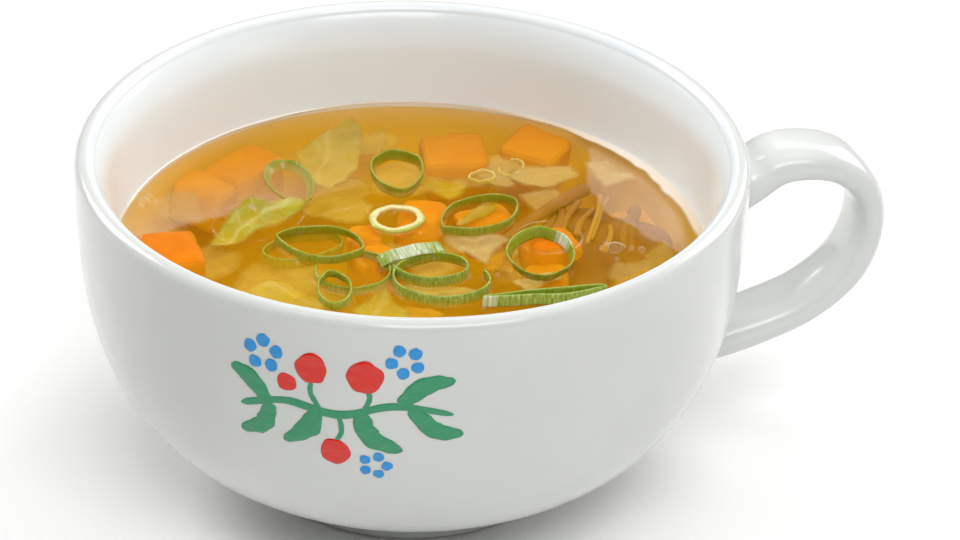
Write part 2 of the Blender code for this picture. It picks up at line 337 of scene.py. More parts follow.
# A round porcelain soup cup with a low foot and one strap handle, its sizes in mm. The powers
# shape the body's curve, and the section's curves are (mm outwards or inwards, mm up).
cupLook = dict(
    height=62.0, radius=57.5, lip=3.6, wall=6.0, wallGrowsOver=8.0, bottom=4.3,
    heightPower=2.98, radiusPower=3.39,
    footRadius=28.2, footRing=4.4, footEdge=0.9, footBlend=2.2,
    footCurve=[(1.2, 6.7), (0.6, 5.8), (0.25, 4.6), (0, 2.6)],   # mm outside the foot, and height
    footRecess=3.0, recessCurve=[(0.3, -1.0), (0.9, -0.3), (1.8, 0)], recessDome=(0.2, 0.3),
    handleRoute=[(56.2, 50.2), (58.8, 51.5), (65, 55.2), (74, 54.5), (79.9, 49.5),
                 (81.1, 41.7), (78.4, 33.5), (71.7, 27), (63.5, 23.1), (54.5, 20.3), (46.8, 19)],
    handleWidth=(12.6, 13.5), handleDepth=(8.2, 5.8), handleSquareness=2.6, handleFillet=2.6,
    handleFlare=0.9, around=192, down=72, downPower=0.85, lipSteps=16, handleAround=40, handleAlong=96,
    # which faces wear which copy of the glaze: heights, and how far in from the outside, in mm
    wetFrom=8.0, wetRise=0.3, wetSkin=2.5, drySkin=2.2, footSkin=0.12, footReach=32.0,
    # the same glaze in two colours: darker outside as painted shade, lighter and cooler inside as painted
    # light
    glazeOutsidePaintedDarker=("#D8DAD7", "#DCDEDB"), glazeInsidePaintedLighter=("#EDF4F7", "#F0F6F9"),
    foot=("#CFCCC4", "#DEDCD5"),
)


# (radius, height) in mm of the bowl's outside, at 0 for the lip to 90 degrees for the bottom.
def outsideAt(turn):
    c = cupLook
    top = c["height"] - c["lip"] / 2
    drop = math.sin(turn) ** (2 / c["heightPower"])
    radius = c["radius"] * max(math.cos(turn), 0) ** (2 / c["radiusPower"])
    return Vector((radius, top - drop * (top - c["bottom"])))


# The wall's inner face, or a little way outwards into the wall.
def insideAt(turn, outwards=0.0):
    c = cupLook
    here = outsideAt(turn)
    step = math.radians(0.5)
    along = (outsideAt(min(turn + step, math.pi / 2)) - outsideAt(max(turn - step, 0))).normalized()
    wall = c["wall"] - (c["wall"] - c["lip"]) * math.exp((here.y - c["height"]) / c["wallGrowsOver"])
    point = here + Vector((along.y, -along.x)) * (wall - outwards)
    point.x = max(point.x, 0)
    return point


# Radius in mm of the bowl's outside at a height.
def outerRadius(z):
    c = cupLook
    top = c["height"] - c["lip"] / 2
    share = min(max((top - z) / (top - c["bottom"]), 0), 1)
    return c["radius"] * (1 - share ** c["heightPower"]) ** (1 / c["radiusPower"])


# Glazed white porcelain, fired glossy: a clean soft sheen over a faintly uneven skin. Its colours
# come per copy: a darker one outside and a lighter, cooler one inside, painted shade and light.
def glazedPorcelain(tree, place, colours):
    cast = patches(tree, place, 45, 3, 0.35, 0.65)                                    # slow, 20 mm
    ripple = addNode(tree, "TexNoise", {"Vector": place, "Scale": 160, "Detail": 2})  # 6 mm waves
    rough = patches(tree, place, 900, 2, 0.3, 0.7, 0.15, 0.2)                         # 1 mm
    relief = addNode(tree, "Bump", {"Height": ripple, "Strength": 1.0, "Distance": 0.05 * mm})
    colour = addNode(tree, "Mix", {0: cast, 6: colours[0], 7: colours[1]}, **colourMix)
    return addNode(tree, "BsdfPrincipled", {"Base Color": colour, "Roughness": rough, "IOR": 1.5,
                                            "Normal": relief})


# The same glaze seen through broth: pale at the waterline, amber lower down, and no shine.
def glazeUnderBroth(tree, place):
    look, fog = brothLook, brothLook["fog"]
    wall = throughBroth(tree, place, look["shallow"], look["amber"], fog["wall"])
    cloudy = patches(tree, place, 70, 3, 0.3, 0.7)                                    # 15 mm clouds
    deep = addNode(tree, "Mix", {0: cloudy, 6: look["deepWall"], 7: look["amber"]}, **colourMix)
    colour = throughBroth(tree, place, wall, deep, fog["deepWall"])
    return addNode(tree, "BsdfPrincipled", {"Base Color": colour, "Roughness": 0.6,
                                            "Specular IOR Level": 0.0})


# The bare foot ring, ground flat: matt, gritty and slightly grey.
def bareFoot(tree, place):
    grit = addNode(tree, "TexNoise", {"Vector": place, "Scale": 2500, "Detail": 3})   # 0.4 mm grit
    dark, light = cupLook["foot"]
    colour = addNode(tree, "Mix", {0: grit, 6: dark, 7: light}, **colourMix)
    relief = addNode(tree, "Bump", {"Height": grit, "Strength": 1.0, "Distance": 0.05 * mm})
    return addNode(tree, "BsdfPrincipled", {"Base Color": colour, "Roughness": 0.75, "Normal": relief})


def makeHandle(bm):
    c = cupLook
    stations = []
    for i in range(c["handleAlong"] + 1):
        place = i / c["handleAlong"]
        here = curvePoint(c["handleRoute"], place)
        along = (curvePoint(c["handleRoute"], min(place + 0.01, 1))
                 - curvePoint(c["handleRoute"], max(place - 0.01, 0))).normalized()
        out = Vector((-along.y, along.x))
        grip = math.sin(math.pi * place)
        wide = c["handleWidth"][0] + (c["handleWidth"][1] - c["handleWidth"][0]) * grip
        deep = c["handleDepth"][0] + (c["handleDepth"][1] - c["handleDepth"][0]) * grip

        def station(w, d, here=here, out=out, wide=wide, deep=deep):
            point = Vector((here.x + out.x * d * deep, w * wide, here.y + out.y * d * deep))
            middle = Vector((here.x, 0, here.y))
            gap = math.hypot(point.x, point.y) - outerRadius(point.z)
            near = 1 - min(max(gap / c["handleFillet"], 0), 1)      # 1 at the wall
            flare = c["handleFillet"] * (1 - math.sqrt(max(1 - near ** 2, 0))) * c["handleFlare"]
            return (point + (point - middle).normalized() * flare) * mm
        stations.append(station)
    sweep(bm, roundedSection(1, 1, c["handleSquareness"], c["handleAround"]), stations)
    bmesh.ops.recalc_face_normals(bm, faces=bm.faces)


def makeCup():
    c = cupLook
    turns = [math.pi / 2 * (i / c["down"]) ** c["downPower"] for i in range(c["down"] + 1)]
    inside = [insideAt(t) for t in turns]
    inside[-1].x = 0
    lipRadius = c["lip"] / 2
    middle = Vector((c["radius"] - lipRadius, c["height"] - lipRadius))
    lip = [middle + lipRadius * Vector((-math.cos(a), math.sin(a)))
           for a in (math.pi * i / c["lipSteps"] for i in range(1, c["lipSteps"]))]
    outside = [p for p in map(outsideAt, turns) if p.x > c["footRadius"] + c["footBlend"]]
    foot, edge, recess = c["footRadius"], c["footEdge"], c["footRecess"]
    inner = foot - c["footRing"]
    corner = [(1 - math.cos(a), math.sin(a)) for a in map(math.radians, range(0, 91, 15))]
    profile = inside[::-1] + lip + outside
    profile += [(foot + out, height) for out, height in c["footCurve"]]
    profile += [(foot - edge * u, edge * (1 - v)) for u, v in corner]
    profile += [(inner + edge * (1 - v), edge * u) for u, v in corner]
    profile += [(inner - back, recess + rise) for back, rise in c["recessCurve"]]
    profile += [(inner / 2, recess + c["recessDome"][0]), (0, recess + c["recessDome"][1])]
    bm = bmesh.new()
    turnProfile(bm, profile, c["around"])
    # the outside and inside copies of the glaze differ only by painted shade and light
    finishes = [newMaterial("glazedPorcelainOutsideShaded", glazedPorcelain, c["glazeOutsidePaintedDarker"]),
                newMaterial("glazeUnderBroth", glazeUnderBroth), newMaterial("groundBiscuitFoot", bareFoot),
                newMaterial("glazedPorcelainInsideLit", glazedPorcelain, c["glazeInsidePaintedLighter"])]
    cup = finishMesh(bm, "soupCup", finishes, ["soup_cup"])
    handleMesh = bmesh.new()
    makeHandle(handleMesh)
    bmesh.ops.translate(handleMesh, verts=handleMesh.verts, vec=axis)
    handle = bpy.data.objects.new("handle", bpy.data.meshes.new("handle"))
    handleMesh.to_mesh(handle.data)
    handleMesh.free()
    scene.collection.objects.link(handle)
    join = cup.modifiers.new("handle", "BOOLEAN")
    join.operation = "UNION"
    join.object = handle
    joined = cup.evaluated_get(bpy.context.evaluated_depsgraph_get())
    mesh = bpy.data.meshes.new_from_object(joined)
    cup.modifiers.clear()
    cup.data = mesh
    bpy.data.objects.remove(handle)
    for face in mesh.polygons:
        x, y, z = (face.center - axis) / mm
        radius = math.hypot(x, y)
        skin = outerRadius(z) - radius
        if c["wetFrom"] < z < level / mm + c["wetRise"] and skin > c["wetSkin"]:
            face.material_index = 1
        elif z < c["footSkin"] and radius < c["footReach"]:
            face.material_index = 2
        # the inside above the broth takes the lighter, cooler copy painted for light
        elif z > level / mm and skin > c["drySkin"]:
            face.material_index = 3
        else:
            face.material_index = 0
    mesh.shade_smooth()


# A painted sprig: leaves, berries and blossoms along a stem. Places are mm to the right of the
# print's middle and up from the cup's foot.
sprigPrint = dict(
    middle=-110.3,            # degrees round the bowl from the handle
    green="#2A9465", red="#E0200A", blue="#1492DC", thin="#F1EFEA",
    strokes=[   # the stem, three berry stalks and six leaves, all green
        dict(route=[(-18, 42.5), (-10, 45.2), (-1, 44.2), (8, 46.6), (17.5, 45)], width=1.5, blunt=0.5),
        dict(route=[(-4, 44.6), (-5.6, 47.6), (-5.4, 50)], width=0.9, blunt=0.5),
        dict(route=[(3, 45.2), (4, 48), (3.4, 49.8)], width=0.9, blunt=0.5),
        dict(route=[(-1, 44), (-0.6, 41), (-1.6, 38.6)], width=0.9, blunt=0.5),
        dict(route=[(-13, 44.3), (-16, 48), (-19.5, 49.6)], width=3.4),
        dict(route=[(-12.5, 44), (-14, 39.6), (-18.4, 37)], width=3.3),
        dict(route=[(-4.5, 44.8), (-6.4, 40.4), (-10.6, 37)], width=3.5),
        dict(route=[(2.5, 45), (4.2, 40), (9.4, 37.6)], width=3.6),
        dict(route=[(10.5, 46.4), (14.5, 42), (19.2, 41)], width=3.2),
        dict(route=[(9, 46.8), (12.5, 50.6), (17.6, 51.6)], width=3.3),
    ],
    berries=[(-5.4, 52.3, 2.7), (3.3, 52, 2.9), (-1.8, 36.4, 2.6), (-9.6, 48.9, 1.7)],
    blossoms=[(-13.6, 53.4, 1.15), (9.6, 55.2, 1.05), (4.8, 34.2, 0.95)],
    petals=5, spread=2.1, thick=0.04, steps=60, ragged=0.22, uneven=0.16,
)


# A point just off the outside wall, in metres about the bowl's axis.
def onWall(right, height, lift=0.05):
    angle = math.radians(sprigPrint["middle"]) + right / cupLook["radius"]
    radius = outerRadius(height) + lift
    return Vector((radius * math.cos(angle), radius * math.sin(angle), height)) * mm


# Overglaze enamel, brushed on and fired: flat colour, a little thinner along the stroke.
def overglazeEnamel(tree, place, colour):
    drag = addNode(tree, "Mapping", {"Vector": place, "Scale": (0.5, 0.5, 1.6)})
    streak = addNode(tree, "TexNoise", {"Vector": drag, "Scale": 700, "Detail": 4, "Roughness": 0.6})
    thin = addNode(tree, "MapRange", {"Value": streak, "From Min": 0.5, "From Max": 0.85, "To Max": 0.07})
    tint = addNode(tree, "Mix", {0: thin, 6: colour, 7: sprigPrint["thin"]}, **colourMix)
    return addNode(tree, "BsdfPrincipled", {"Base Color": tint, "Roughness": 0.16, "IOR": 1.5})


# A brush stroke along its route, fullest in the middle unless it is blunt.
def addStroke(bm, stroke, seed):
    made = bmesh.ops.create_grid(bm, x_segments=56, y_segments=6, size=1)["verts"]
    blunt, steps = stroke.get("blunt", 0.0), sprigPrint["steps"]
    points = [curvePoint([(*p, 0) for p in stroke["route"]], i / steps) for i in range(steps + 1)]
    for vert in made:
        k, side = (vert.co.x + 1) / 2, vert.co.y
        step = round(k * steps)
        along = points[min(step + 2, steps)] - points[max(step - 2, 0)]
        across = Vector((-along.y, along.x, 0)).normalized()
        belly = math.sin(math.pi * min(k * 0.9 + 0.1, 1)) ** 0.6 * (1 - blunt) + blunt
        ends = min(1, (min(k, 1 - k) / 0.06) ** 0.5)
        ragged = 1 + sprigPrint["ragged"] * noise.noise(Vector((k * 7, side * 0.4 + seed, seed * 3.1)))
        here = points[step] + across * side * stroke["width"] / 2 * belly * ends * ragged
        vert.co = onWall(here.x, here.y)


# A round dab of the brush, not quite even.
def addDab(bm, right, height, radius, seed):
    for vert in bmesh.ops.create_grid(bm, x_segments=10, y_segments=10, size=1)["verts"]:
        u, v = squareToDisc(vert.co)
        around = math.atan2(v, u)
        rim = Vector((math.cos(around), math.sin(around), seed * 1.7))
        reach = radius * (1 + sprigPrint["uneven"] * noise.noise(rim * 1.5))
        vert.co = onWall(right + u * reach, height + v * reach, 0.055)


def makePrint():
    p = sprigPrint
    for colour in ("green", "red", "blue"):
        bm = bmesh.new()
        if colour == "green":
            for seed, stroke in enumerate(p["strokes"]):
                addStroke(bm, stroke, seed)
        if colour == "red":
            for seed, berry in enumerate(p["berries"]):
                addDab(bm, *berry, seed)
        if colour == "blue":
            for seed, (right, height, petal) in enumerate(p["blossoms"]):
                for k in range(p["petals"]):
                    a = 2 * math.pi * (k / p["petals"] + seed / 13) + 0.3
                    out = p["spread"] * petal
                    addDab(bm, right + out * math.cos(a), height + out * math.sin(a), petal, seed + k)
        bmesh.ops.recalc_face_normals(bm, faces=bm.faces)
        finish = newMaterial("overglaze" + colour.capitalize(), overglazeEnamel, p[colour])
        piece = finishMesh(bm, "print" + colour.capitalize(), [finish])
        paint = piece.modifiers.new("paint", "SOLIDIFY")
        paint.thickness = p["thick"] * mm
        paint.offset = 0


# Slices of spring onion. Each: middle from the bowl's axis, size, turn, height of its top and
# how tall it stands, in mm and degrees. Start and sweep are for a cut that isn't a full ring, with
# grow and drift where it spirals. Pinch and egg shape the ring, lean opens it towards its top, proud is
# how dry its colours are, and the painted highlight is the side on which pale streaks are painted in for
# shine, and from where to where.
springOnions = dict(
    steps=150, around=20, squareness=3.2, wall=0.5, lean=-0.06, wobble=0.3, slim=0.2,
    proud=0.15, noPaintedHighlight=(0, 2, 3),
    # the paler cut edge along the top, partly the cut flesh's own colour and partly a painted highlight: how
    # far up and how far out it starts, as shares, and how strong it is
    edgeShare=0.44, huskShare=0.27, cutEdgeAndHighlight=0.6,
    # each pair: in the broth, and standing out of it
    green=dict(outer=("#828A12", "#6C8A1C"), stripe=("#A2A02C", "#B4C270"), inner=("#8B8A0C", "#7A9416"),
               edge=("#A6A22C", "#A4B03A")),
    pale=dict(outer=("#A4B024", "#A4B024"), stripe=("#CDCB62", "#CDCB62"), inner=("#DCC684", "#DCC684"),
              edge=("#F0E6B6", "#F0E6B6")),
    # pale colour painted on the slices for highlights
    paintedHighlight="#E2E6D2",
    rings={
        "back_left": dict(at=(-17.9, 24.3), size=(15.2, 8.3), turn=98, top=43.3, tall=1.3, lean=1.0,
                          egg=0.12),
        "back": dict(at=(1.6, 24.4), size=(12.9, 9.2), turn=84, egg=0.23, top=44.0, tall=2.2, tilt=(0, -3),
                     lean=0.1),
        "pale": dict(at=(-1.3, 8.5), size=(8.6, 7.8), turn=36, top=43.5, tall=0.8, wall=1.4,
                     colours="pale"),
        "middle_right": dict(at=(13.3, 7.4), size=(16, 10.4), turn=29, pinch=0.4, top=44.1, tall=1.7),
        "middle_left": dict(at=(-15.8, 1.5), size=(15.4, 10.2), turn=157, pinch=0.5, egg=-0.2, top=44.1,
                            tall=1.5),
        "open_left": dict(proud=0.3, at=(-11.5, -7.6), size=(12.9, 12.8), turn=0, start=72, sweep=-272,
                          top=43.5, tall=1.5),
        "curl": dict(proud=0.3, at=(-15.9, -15.8), size=(11.4, 5.5), turn=85, top=45.2, tall=1.4,
                     tilt=(0, 3)),
        "flattened": dict(proud=0.8, at=(-0.6, -6.3), size=(11.6, 2.8), turn=15, top=43.1, tall=2.6,
                          tilt=(105, 0), paintedHighlight=(1, 0.1, 0.44)),
        "spiral": dict(proud=0.7, at=(2.7, -15.2), size=(16.6, 13.4), turn=0, start=22, sweep=-548,
                       grow=-0.3, drift=(-1.7, 7.5), top=44.2, tall=2.0),
        "upright": dict(proud=0.35, at=(21, -8.6), size=(14.8, 11.4), turn=81, pinch=0.1, top=44.9,
                        tall=2.0, tilt=(0, -4), lean=0.4, paintedHighlight=(0, 0.8, 0.92)),
        "folded": dict(proud=1.0, at=(18.9, -22.3), size=(21, 2.2), turn=1, pinch=0.3, egg=0.2, top=45.2,
                       tall=2.1, paintedHighlight=(1, 0.49, 0.56)),
        "front": dict(proud=0.5, at=(-7, -36.5), size=(11.5, 9), turn=20, egg=0.2, top=44.1, tall=2.5),
        "front_right": dict(at=(24, -34.5), size=(12.5, 7.6), turn=145, pinch=0.2, top=44, tall=2.4),
        # these three have no solids of their own: one sunk slice and two soft pale curls
        "sunk": dict(at=(-18.7, 2.8), size=(14.6, 7.7), turn=13, top=42.5, tall=1.9),
        "sunk_curl": dict(at=(17.2, 25.2), size=(4.6, 3.8), turn=20, top=41.2, tall=1.0, colours="pale"),
        "sunk_loop": dict(at=(23, 27.6), size=(6.4, 4.4), turn=60, start=30, sweep=-280, top=41.2, tall=1.1,
                          colours="pale"),
    },
)


# Points in mm of a cut layer's mid line at its top edge, and which way is up for it.
def ringRoute(ring, steps):
    turn = turned(*ring.get("tilt", (0, 0)), ring["turn"])
    drift = ring.get("drift", (0, 0))
    points = []
    for i in range(steps + 1):
        k = i / steps
        a = math.radians(ring.get("start", 0) + ring.get("sweep", 360) * k)
        scale = 1 + ring.get("grow", 0) * k
        side = math.sin(a) * abs(math.sin(a)) ** ring.get("pinch", 0) * (1 + ring.get("egg", 0) * math.cos(a))
        point = Vector((ring["size"][0] / 2 * math.cos(a) * scale + drift[0] * k,
                        ring["size"][1] / 2 * side * scale + drift[1] * k, 0))
        points.append(turn @ point + Vector((*ring["at"], ring["top"])))
    return points, turn @ up


# Raw spring onion, sliced across: a ribbed wet skin outside, smoother flesh inside.
def springOnionSkin(tree, place, colours):
    uv = addNode(tree, "UVMap", uv_map="UVMap")
    ribPlace = addNode(tree, "VectorMath", {0: uv, 1: (1, 0.5, 0)}, operation="MULTIPLY")
    rib = addNode(tree, "TexNoise", {"Vector": ribPlace, "Scale": 2.1, "Detail": 2, "Roughness": 0.55})
    band = addNode(tree, "MapRange", {"Value": rib, "From Min": 0.36, "From Max": 0.66})   # 0.4 mm ribs
    faint = addNode(tree, "Math", {0: band, 1: 0.4}, operation="MULTIPLY")
    proud, side, rim, highlightMask = (addNode(tree, "Attribute", out="Fac", attribute_name=mark)
                              for mark in ("proud", "outside", "cutEdgeAndHighlight", "paintedHighlight"))
    tones = {key: addNode(tree, "Mix", {0: proud, 6: low, 7: high}, **colourMix)
             for key, (low, high) in colours.items()}
    skin = addNode(tree, "Mix", {0: band, 6: tones["outer"], 7: tones["stripe"]}, **colourMix)
    flesh = addNode(tree, "Mix", {0: faint, 6: tones["inner"], 7: tones["stripe"]}, **colourMix)
    wall = addNode(tree, "Mix", {0: side, 6: flesh, 7: skin}, **colourMix)
    # the top cut edge: paler cut flesh with a painted highlight
    cut = addNode(tree, "Mix", {0: rim, 6: wall, 7: tones["edge"]}, **colourMix)
    patch = patches(tree, place, 300, 3, 0.35, 0.7, 0.0, 0.35)                             # 3 mm patches
    colour = addNode(tree, "Mix", {0: patch, 6: cut, 7: tones["inner"]}, **colourMix)
    ragged = addNode(tree, "MapRange", {"Value": rib, "From Min": 0.3, "From Max": 0.66, "To Min": 0.15,
                                        "To Max": 0.85})
    highlightStreaks = addNode(tree, "Math", {0: ragged, 1: highlightMask}, operation="MULTIPLY")            # painted highlight: pale streaks along the ribs
    colour = addNode(tree, "Mix", {0: highlightStreaks, 6: colour, 7: springOnions["paintedHighlight"]}, **colourMix)
    colour = throughBroth(tree, place, colour, brothLook["amber"], brothLook["fog"]["onion"])
    ribs = addNode(tree, "Bump", {"Height": rib, "Strength": 1.0, "Distance": 0.06 * mm})
    beads = addNode(tree, "TexNoise", {"Vector": place, "Scale": 900, "Detail": 2})        # 1 mm beads of wet
    relief = addNode(tree, "Bump", {"Height": beads, "Strength": 1.0, "Distance": 0.25 * mm, "Normal": ribs})
    return addNode(tree, "BsdfPrincipled", {"Base Color": colour, "Roughness": 0.12, "IOR": 1.45,
                                            "Normal": relief})


# One slice: its section swept along its route, with marks for the colours of each side of it and for where a
# highlight is painted on it.
def makeRing(key, finish):
    look = springOnions
    ring = look["rings"][key]
    wall, tall, sweepAngle = ring.get("wall", look["wall"]), ring["tall"], ring.get("sweep", 360)
    lean = ring.get("lean", look["lean"])
    closed = abs(sweepAngle) == 360
    steps = round(look["steps"] * max(abs(sweepAngle) / 360, 0.8))
    route, upward = ringRoute(ring, steps)
    section = roundedSection(wall, tall, look["squareness"], look["around"])
    seed = Vector((len(key) * 3.7, ring["at"][0], ring["at"][1]))
    stations = []
    for i in range(steps + 1):
        k = i % steps if closed else i
        before = route[(k - 1) % steps] if closed else route[max(k - 1, 0)]
        after = route[(k + 1) % steps] if closed else route[min(k + 1, steps)]
        out = (after - before).cross(upward).normalized() * math.copysign(1, sweepAngle)
        a = 2 * math.pi * k / steps
        spin = Vector((math.cos(a), math.sin(a), 0))
        sway = noise.noise(seed + spin * 1.3) * look["wobble"]
        rise = noise.noise(seed * 2 + spin * 1.6) * look["wobble"]
        slim = 1 + look["slim"] * noise.noise(seed * 3 + spin * 4)
        middle = route[k] + out * sway + upward * (rise - tall / 2)

        def station(w, h, middle=middle, out=out, slim=slim):
            return (middle + out * (w * slim + lean * (h - tall / 2)) + upward * h) * mm
        stations.append(station)
    bm = bmesh.new()
    sweep(bm, section, stations, closed)
    bmesh.ops.recalc_face_normals(bm, faces=bm.faces)
    turns = [vert[bm.verts.layers.int["turn"]] for vert in bm.verts]
    along = [vert[bm.verts.layers.float["along"]] for vert in bm.verts]
    # where the highlight is painted: which side of the wall, and a stretch along the slice
    highlightOnOutside, highlightFrom, highlightTo = ring.get("paintedHighlight", look["noPaintedHighlight"])
    paintedHighlight = []
    for t, a in zip(turns, along):
        share = (a / max(along) - highlightFrom) / (highlightTo - highlightFrom)
        bright = max(1 - abs(2 * share - 1) ** 3, 0) if 0 < share < 1 else 0
        paintedHighlight.append(bright * ((section[t][0] > 0) == bool(highlightOnOutside)))
    node = "spring_onion_" + key
    name = "springOnion" + "".join(word.capitalize() for word in key.split("_"))
    piece = finishMesh(bm, name, [finish], [node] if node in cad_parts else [])
    # the top edge's inner side: paler cut flesh, with a painted highlight
    onTop = [section[t][1] > tall * look["edgeShare"] and section[t][0] < wall * look["huskShare"]
             for t in turns]
    marks = dict(outside=[float(section[t][0] > 0) for t in turns],
                 cutEdgeAndHighlight=[look["cutEdgeAndHighlight"] * top for top in onTop],
                 proud=[ring.get("proud", look["proud"])] * len(turns), paintedHighlight=paintedHighlight)
    for mark, values in marks.items():
        piece.data.attributes.new(mark, "FLOAT", "POINT").data.foreach_set("value", values)


def makeOnions():
    finishes = {name: newMaterial("springOnion" + name.capitalize(), springOnionSkin, springOnions[name])
                for name in ("green", "pale")}
    for key, ring in springOnions["rings"].items():
        makeRing(key, finishes[ring.get("colours", "green")])


# How strongly the painted reflection of the wall shows towards the handle: a round patch with a crisp edge.
def mirroredShare(tree, place, drift):
    patch = brothLook["mirrored"]
    middle = axis + Vector((*patch["at"], level / mm)) * mm
    reach = addNode(tree, "VectorMath", {0: place, 1: middle}, out="Value", operation="DISTANCE")
    reach = addNode(tree, "Math", {0: drift, 1: patch["waver"] * mm, 2: reach}, operation="MULTIPLY_ADD")
    outer = (patch["radius"] + patch["waver"] / 2) * mm
    inside = addNode(tree, "MapRange", {"Value": reach, "From Min": outer,
                                        "From Max": outer - patch["crisp"] * mm})
    out = addNode(tree, "VectorMath", {0: place, 1: axis + up * level}, out="Value", operation="DISTANCE")
    start, end = (d * mm for d in patch["rim"])
    rim = addNode(tree, "MapRange", {"Value": out, "From Min": start, "From Max": end, "To Min": 1.0,
                                     "To Max": patch["least"]})
    return addNode(tree, "Math", {0: inside, 1: rim}, operation="MULTIPLY")


# How strongly the painted reflection of the wall shows at the back left: a band that fades outwards and to
# the right.
def backReflectionShare(tree, place, drift):
    veil = brothLook["veil"]
    toward = addNode(tree, "VectorMath", {0: place, 1: veil["toward"]}, out="Value", operation="DOT_PRODUCT")
    toward = addNode(tree, "Math", {0: drift, 1: veil["waver"] * mm, 2: toward}, operation="MULTIPLY_ADD")
    offset = axis.dot(Vector(veil["toward"])) + veil["waver"] / 2 * mm
    near, brightest, far = (offset + d * mm for d in veil["reach"])
    edge = addNode(tree, "MapRange", {"Value": toward, "From Min": near, "From Max": brightest})
    fade = addNode(tree, "MapRange", {"Value": toward, "From Min": far, "From Max": brightest})
    side = addNode(tree, "SeparateXYZ", {"Vector": place}, out="X")
    left, right = (axis.x + d * mm for d in veil["across"])
    side = addNode(tree, "MapRange", {"Value": side, "From Min": right, "From Max": left})
    band = addNode(tree, "Math", {0: edge, 1: fade}, operation="MULTIPLY")
    return addNode(tree, "Math", {0: band, 1: side}, operation="MULTIPLY")


# Painted highlights: the pale line along the waterline on the wall, and the thin outlines where the broth
# climbs a piece.
def brothHighlightShare(tree, place):
    brothHighlight = addNode(tree, "Attribute", out="Fac", attribute_name="brothHighlight")
    ragged = addNode(tree, "TexNoise", {"Vector": place, "Scale": 160, "Detail": 2})       # 6 mm
    thinness = addNode(tree, "MapRange", {"Value": ragged, "From Min": 0.38, "From Max": 0.6,
                                          "To Max": brothLook["climbHighlightShare"]})
    waver = brothLook["climbWaver"]
    for climb in brothLook["climbHighlights"]:
        middle = axis + Vector((*climb["at"], level / mm)) * mm
        radii = [size / 2 * mm for size in climb["size"]]
        inside = addNode(tree, "Mapping", {"Vector": place, "Location": middle, "Scale": (*radii, 1),
                                           "Rotation": (0, 0, math.radians(climb["turn"]))},
                         vector_type="TEXTURE")
        reach = addNode(tree, "VectorMath", {0: inside}, out="Value", operation="LENGTH")
        reach = addNode(tree, "Math", {0: ragged, 1: waver, 2: reach}, operation="MULTIPLY_ADD")
        off = addNode(tree, "Math", {0: reach, 1: 1 + waver / 2}, operation="SUBTRACT")
        off = addNode(tree, "Math", {0: off}, operation="ABSOLUTE")
        line = addNode(tree, "MapRange", {"Value": off, "From Min": climb["width"] * mm / radii[0],
                                          "From Max": 0.0})
        line = addNode(tree, "Math", {0: line, 1: thinness}, operation="MULTIPLY")
        brothHighlight = addNode(tree, "Math", {0: line, 1: brothHighlight}, operation="MAXIMUM")
    return brothHighlight


# Clear broth with a wet skin: you see through it, and it mirrors the wall at a slant. Its cloudy
# share also carries painted reflections of the wall and painted highlights along the waterline and round the
# pieces.
def clearBroth(tree, place):
    look = brothLook
    drift = addNode(tree, "TexNoise", {"Vector": place, "Scale": 60, "Detail": 3, "Roughness": 0.55,
                                       "Distortion": 0.6})                # clouds about 15 mm across
    share = addNode(tree, "MapRange", {"Value": drift, "From Min": 0.35, "From Max": 0.65,
                                       "To Min": look["cloud"][0], "To Max": look["cloud"][1]})
    cloud = look["golden"]
    # the cloud takes on the painted reflections of the wall, in colour and in share
    for name, shareOf in (("mirrored", mirroredShare), ("veil", backReflectionShare)):
        pale = shareOf(tree, place, drift)
        cloud = addNode(tree, "Mix", {0: pale, 6: cloud, 7: look[name]["colour"]}, **colourMix)
        share = addNode(tree, "Math", {0: pale, 1: look[name]["share"], 2: share}, operation="MULTIPLY_ADD")
    brothHighlight = brothHighlightShare(tree, place)
    hazeAndPaintedLightColour = addNode(tree, "Mix", {0: brothHighlight, 6: cloud, 7: look["brothHighlight"]}, **colourMix)
    hazeAndPaintedLightShare = addNode(tree, "Math", {0: share, 1: brothHighlight}, operation="MAXIMUM")
    clear = addNode(tree, "BsdfTransparent", {"Color": look["tint"]})
    hazeAndPaintedLight = addNode(tree, "BsdfDiffuse", {"Color": hazeAndPaintedLightColour})
    body = addNode(tree, "MixShader", {0: hazeAndPaintedLightShare, 1: clear, 2: hazeAndPaintedLight})
    gloss = addNode(tree, "BsdfGlossy", {"Color": "#FFFFFF", "Roughness": 0.03})
    mirror = addNode(tree, "Fresnel", {"IOR": look["ior"]})
    below = addNode(tree, "NewGeometry", out="Backfacing")       # light leaves the broth freely
    shine = addNode(tree, "MapRange", {"Value": below, "To Min": look["shine"], "To Max": 0.0})
    skin = addNode(tree, "Math", {0: mirror, 1: shine}, operation="MULTIPLY")
    return addNode(tree, "MixShader", {0: skin, 1: body, 2: gloss})


# Width in mm and paleness of the painted highlight along the waterline, by degrees round the bowl.
def brothHighlightAt(degrees):
    table = brothLook["brothHighlightWidths"]
    i = min(max(bisect.bisect([row[0] for row in table], degrees), 1), len(table) - 1)
    (a, wideA, paleA), (b, wideB, paleB) = table[i - 1], table[i]
    k = (degrees - a) / (b - a)
    k = k * k * (3 - 2 * k)
    slow, quick = noise.noise(Vector((degrees / 9, 2, 0))), noise.noise(Vector((degrees / 3, 7, 0)))
    wobble = 1 + 0.35 * slow + 0.2 * quick
    return (wideA + (wideB - wideA) * k) * wobble, paleA + (paleB - paleA) * k


